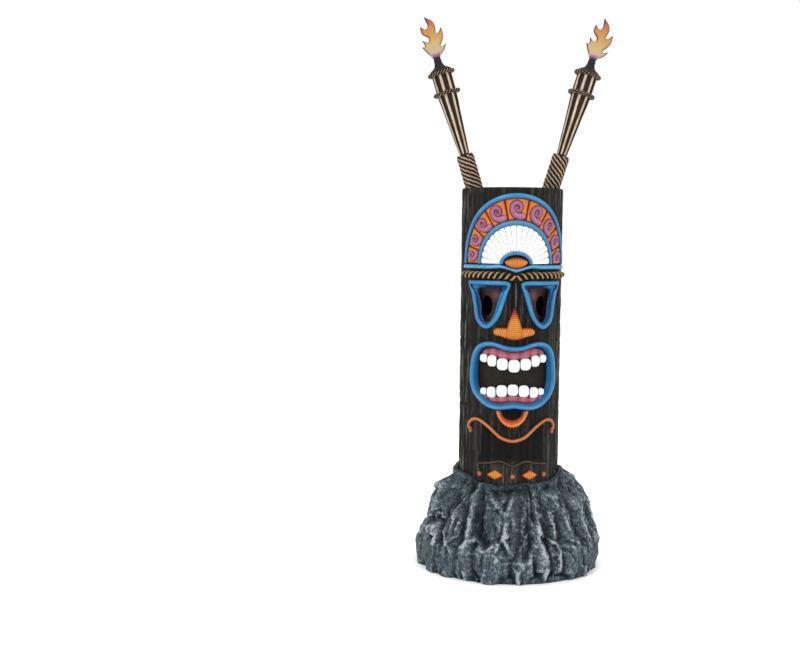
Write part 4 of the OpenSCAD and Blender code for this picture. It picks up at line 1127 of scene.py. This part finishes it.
# Below, a torch is made upright in mm up its own pole, then leaned into its socket.
socket_across, socket_height, torch_lean = 0.1227, 1.282, math.radians(17)
grip_foot, grip_length, grip_radius = 27, 124, 24.7
basket_foot, basket_length, neck_top = 158, 294, 0.4984
ring_radius = 41.7
for side, word in ((-1, "left"), (1, "right")):
    stand = (Matrix.Translation((side * socket_across, 0, socket_height))
             @ Matrix.Rotation(torch_lean * side, 4, "Y"))
    dress("torch_core_" + word, cane)

    def mount(name, part, lump, material, slot, **more):
        """Lean a part of the torch into the socket and show it."""
        bmesh.ops.transform(lump, matrix=stand, verts=lump.verts)
        show(name + "_" + word, lump, material, slot, ["torch_%s_%s" % (part, word)],
             "torch_" + word, **more)

    slats = clay()
    for k in range(8):
        facing = math.radians(45 * (k + 0.5) + 8)

        def place(u, w):
            v = basket_foot + basket_length * u
            out = reading(((158, 18.5), (280, 27.5), (375, 35.4), (452, 35.4)), v)
            half = reading(((158, 4.0), (375, 5.9), (452, 5.9)), v)
            a = math.tau * w
            c, t = math.cos(a), math.sin(a)
            x, y = softened(c, 0.7) * half, softened(t, 0.6) * 1.7
            r = out - 1.8 + y - x * x / (2 * out) + 0.25 * noise.noise(Vector((k, v / 40, 0)))
            spot = Vector((r, x, v))
            spot.rotate(Matrix.Rotation(facing, 3, "Z"))
            # Painted highlight on each slat's outer face and painted shade down its edges, with random
            # streaks.
            return spot * MM, (0.12 + 0.72 * max(0, t) ** 1.5 * (1 - 0.5 * abs(c) ** 3)
                               + 0.22 * noise.noise(Vector((k * 3, v / 45, x / 3))))

        press(slats, 36, 14, place)
    mount("slats", "staves", slats, bamboo, "bamboo")

    grip = clay()
    for k in range(8):
        def pole(u):
            return Vector((0, 0, grip_foot + grip_length * u)) * MM

        def centre(u, k=k):
            a = math.tau * (k / 8 - 0.98 * u)
            return Vector((grip_radius * math.cos(a), grip_radius * math.sin(a), 0)) * MM + pole(u)

        def outward(u, k=k):
            return centre(u, k) - pole(u)

        def thick(u):
            return 5.8 * MM

        strand(grip, 110, 12, centre, outward, thick, pole, 0.0305, 4, -70, narrow=2.5)
    mount("grip_cord", "grip_rope", grip, cord, "rope")

    for level, part in ((375, "lower"), (445, "upper")):
        ring = clay()
        for k in range(3):
            def middle(u):
                a = math.tau * u
                return Vector((ring_radius * math.cos(a), ring_radius * math.sin(a), level)) * MM

            def centre(u, k=k):
                a, b = math.tau * u, math.tau * (u * 9 + k / 3)
                r = ring_radius + 2.9 * math.cos(b)
                return Vector((r * math.cos(a), r * math.sin(a), level + 3.4 * math.sin(b))) * MM

            def outward(u, k=k):
                return centre(u, k) - middle(u)

            def thick(u):
                return 3.3 * MM

            strand(ring, 176, 10, centre, outward, thick, middle, 0.0066, narrow=4)
        mount("ring_" + part, "ring_" + part, ring, cord, "rope")

    burner = clay()
    profile = curve([(0.5, 446), (30.5, 446), (31, 450), (31.2, 452.8), (37, 453), (37.3, 455.5),
                     (31, 460), (24, 464.5), (18, 470), (14.8, 477), (13, 484), (13.4, 487),
                     (13.6, 490), (12.4, 493), (12, 497.6), (6, 498), (0.3, 498)], fine=4)

    def place(u, w):
        r, v = profile(w)
        a = math.tau * u
        # Painted highlights along the flange at 455 mm and the neck's lip at 489 mm.
        return (Vector((r * math.cos(a), r * math.sin(a), v)) * MM,
                0.3 + 0.25 * math.exp(-((v - 455) / 3) ** 2) + 0.25 * math.exp(-((v - 489) / 3) ** 2))

    press(burner, 40, 60, place)
    mount("burner", "burner", burner, iron, "burner_metal")

    tongue = curve(flame_shape, closed=True, fine=6)
    edge = [tuple(tongue(k / 270)) for k in range(270)]
    flame = clay()
    rise = flame.verts.layers.float["rise"]
    rim = [flame.verts.new((x, 0, y)) for x, y in edge]
    loop = [flame.edges.new((a, b)) for a, b in zip(rim, rim[1:] + rim[:1])]
    bmesh.ops.triangle_fill(flame, use_beauty=True, use_dissolve=False, edges=loop)
    cuts = ([((3 * k + 1.3, 0, 0), (1, 0, 0)) for k in range(-12, 16)]
            + [((0, 0, 3 * k + 0.7), (0, 0, 1)) for k in range(1, 49)])
    for point, normal in cuts:
        bmesh.ops.bisect_plane(flame, geom=flame.verts[:] + flame.edges[:] + flame.faces[:],
                               plane_co=point, plane_no=normal)
    for v in flame.verts:
        deep = from_outline(Vector((v.co.x, v.co.z)), edge)
        flow = noise.noise(Vector((v.co.x / 8, 0, v.co.z / 28)))
        crease = 1 - eased(abs(noise.noise(Vector((v.co.x / 11 + 4, v.co.z / 60, 1)))), 0, 0.125)
        tall = v.co.z / flame_tall + 0.10 * eased(abs(v.co.x), 16, 44) * eased(v.co.z, 20, 50)
        value = kept(0.01 + 0.92 * tall + 0.12 * flow * eased(v.co.z, 8, 60)
                     - 0.10 * crease * eased(v.co.z, 25, 50), 0, 0.92)
        v[rise] = value + (1 - value) * (1 - eased(deep, 1.6, 5.0)) * eased(v.co.z, 6, 20)
        v.co.y = -min(9.6, 3.4 * math.sqrt(deep) + (1.4 * flow - 1.3 * crease) * eased(deep, 1, 6))
    back = bmesh.ops.duplicate(flame, geom=flame.verts[:] + flame.edges[:] + flame.faces[:])["geom"]
    for v in back:
        if isinstance(v, bmesh.types.BMVert):
            v.co.y = -v.co.y
    bmesh.ops.remove_doubles(flame, verts=flame.verts, dist=0.05)
    bmesh.ops.transform(flame, matrix=Matrix.Translation((0, 0, neck_top)) @ Matrix.Scale(MM, 4),
                        verts=flame.verts)
    mount("flame", "flame", flame, fire, "flame_resin", crease=80)
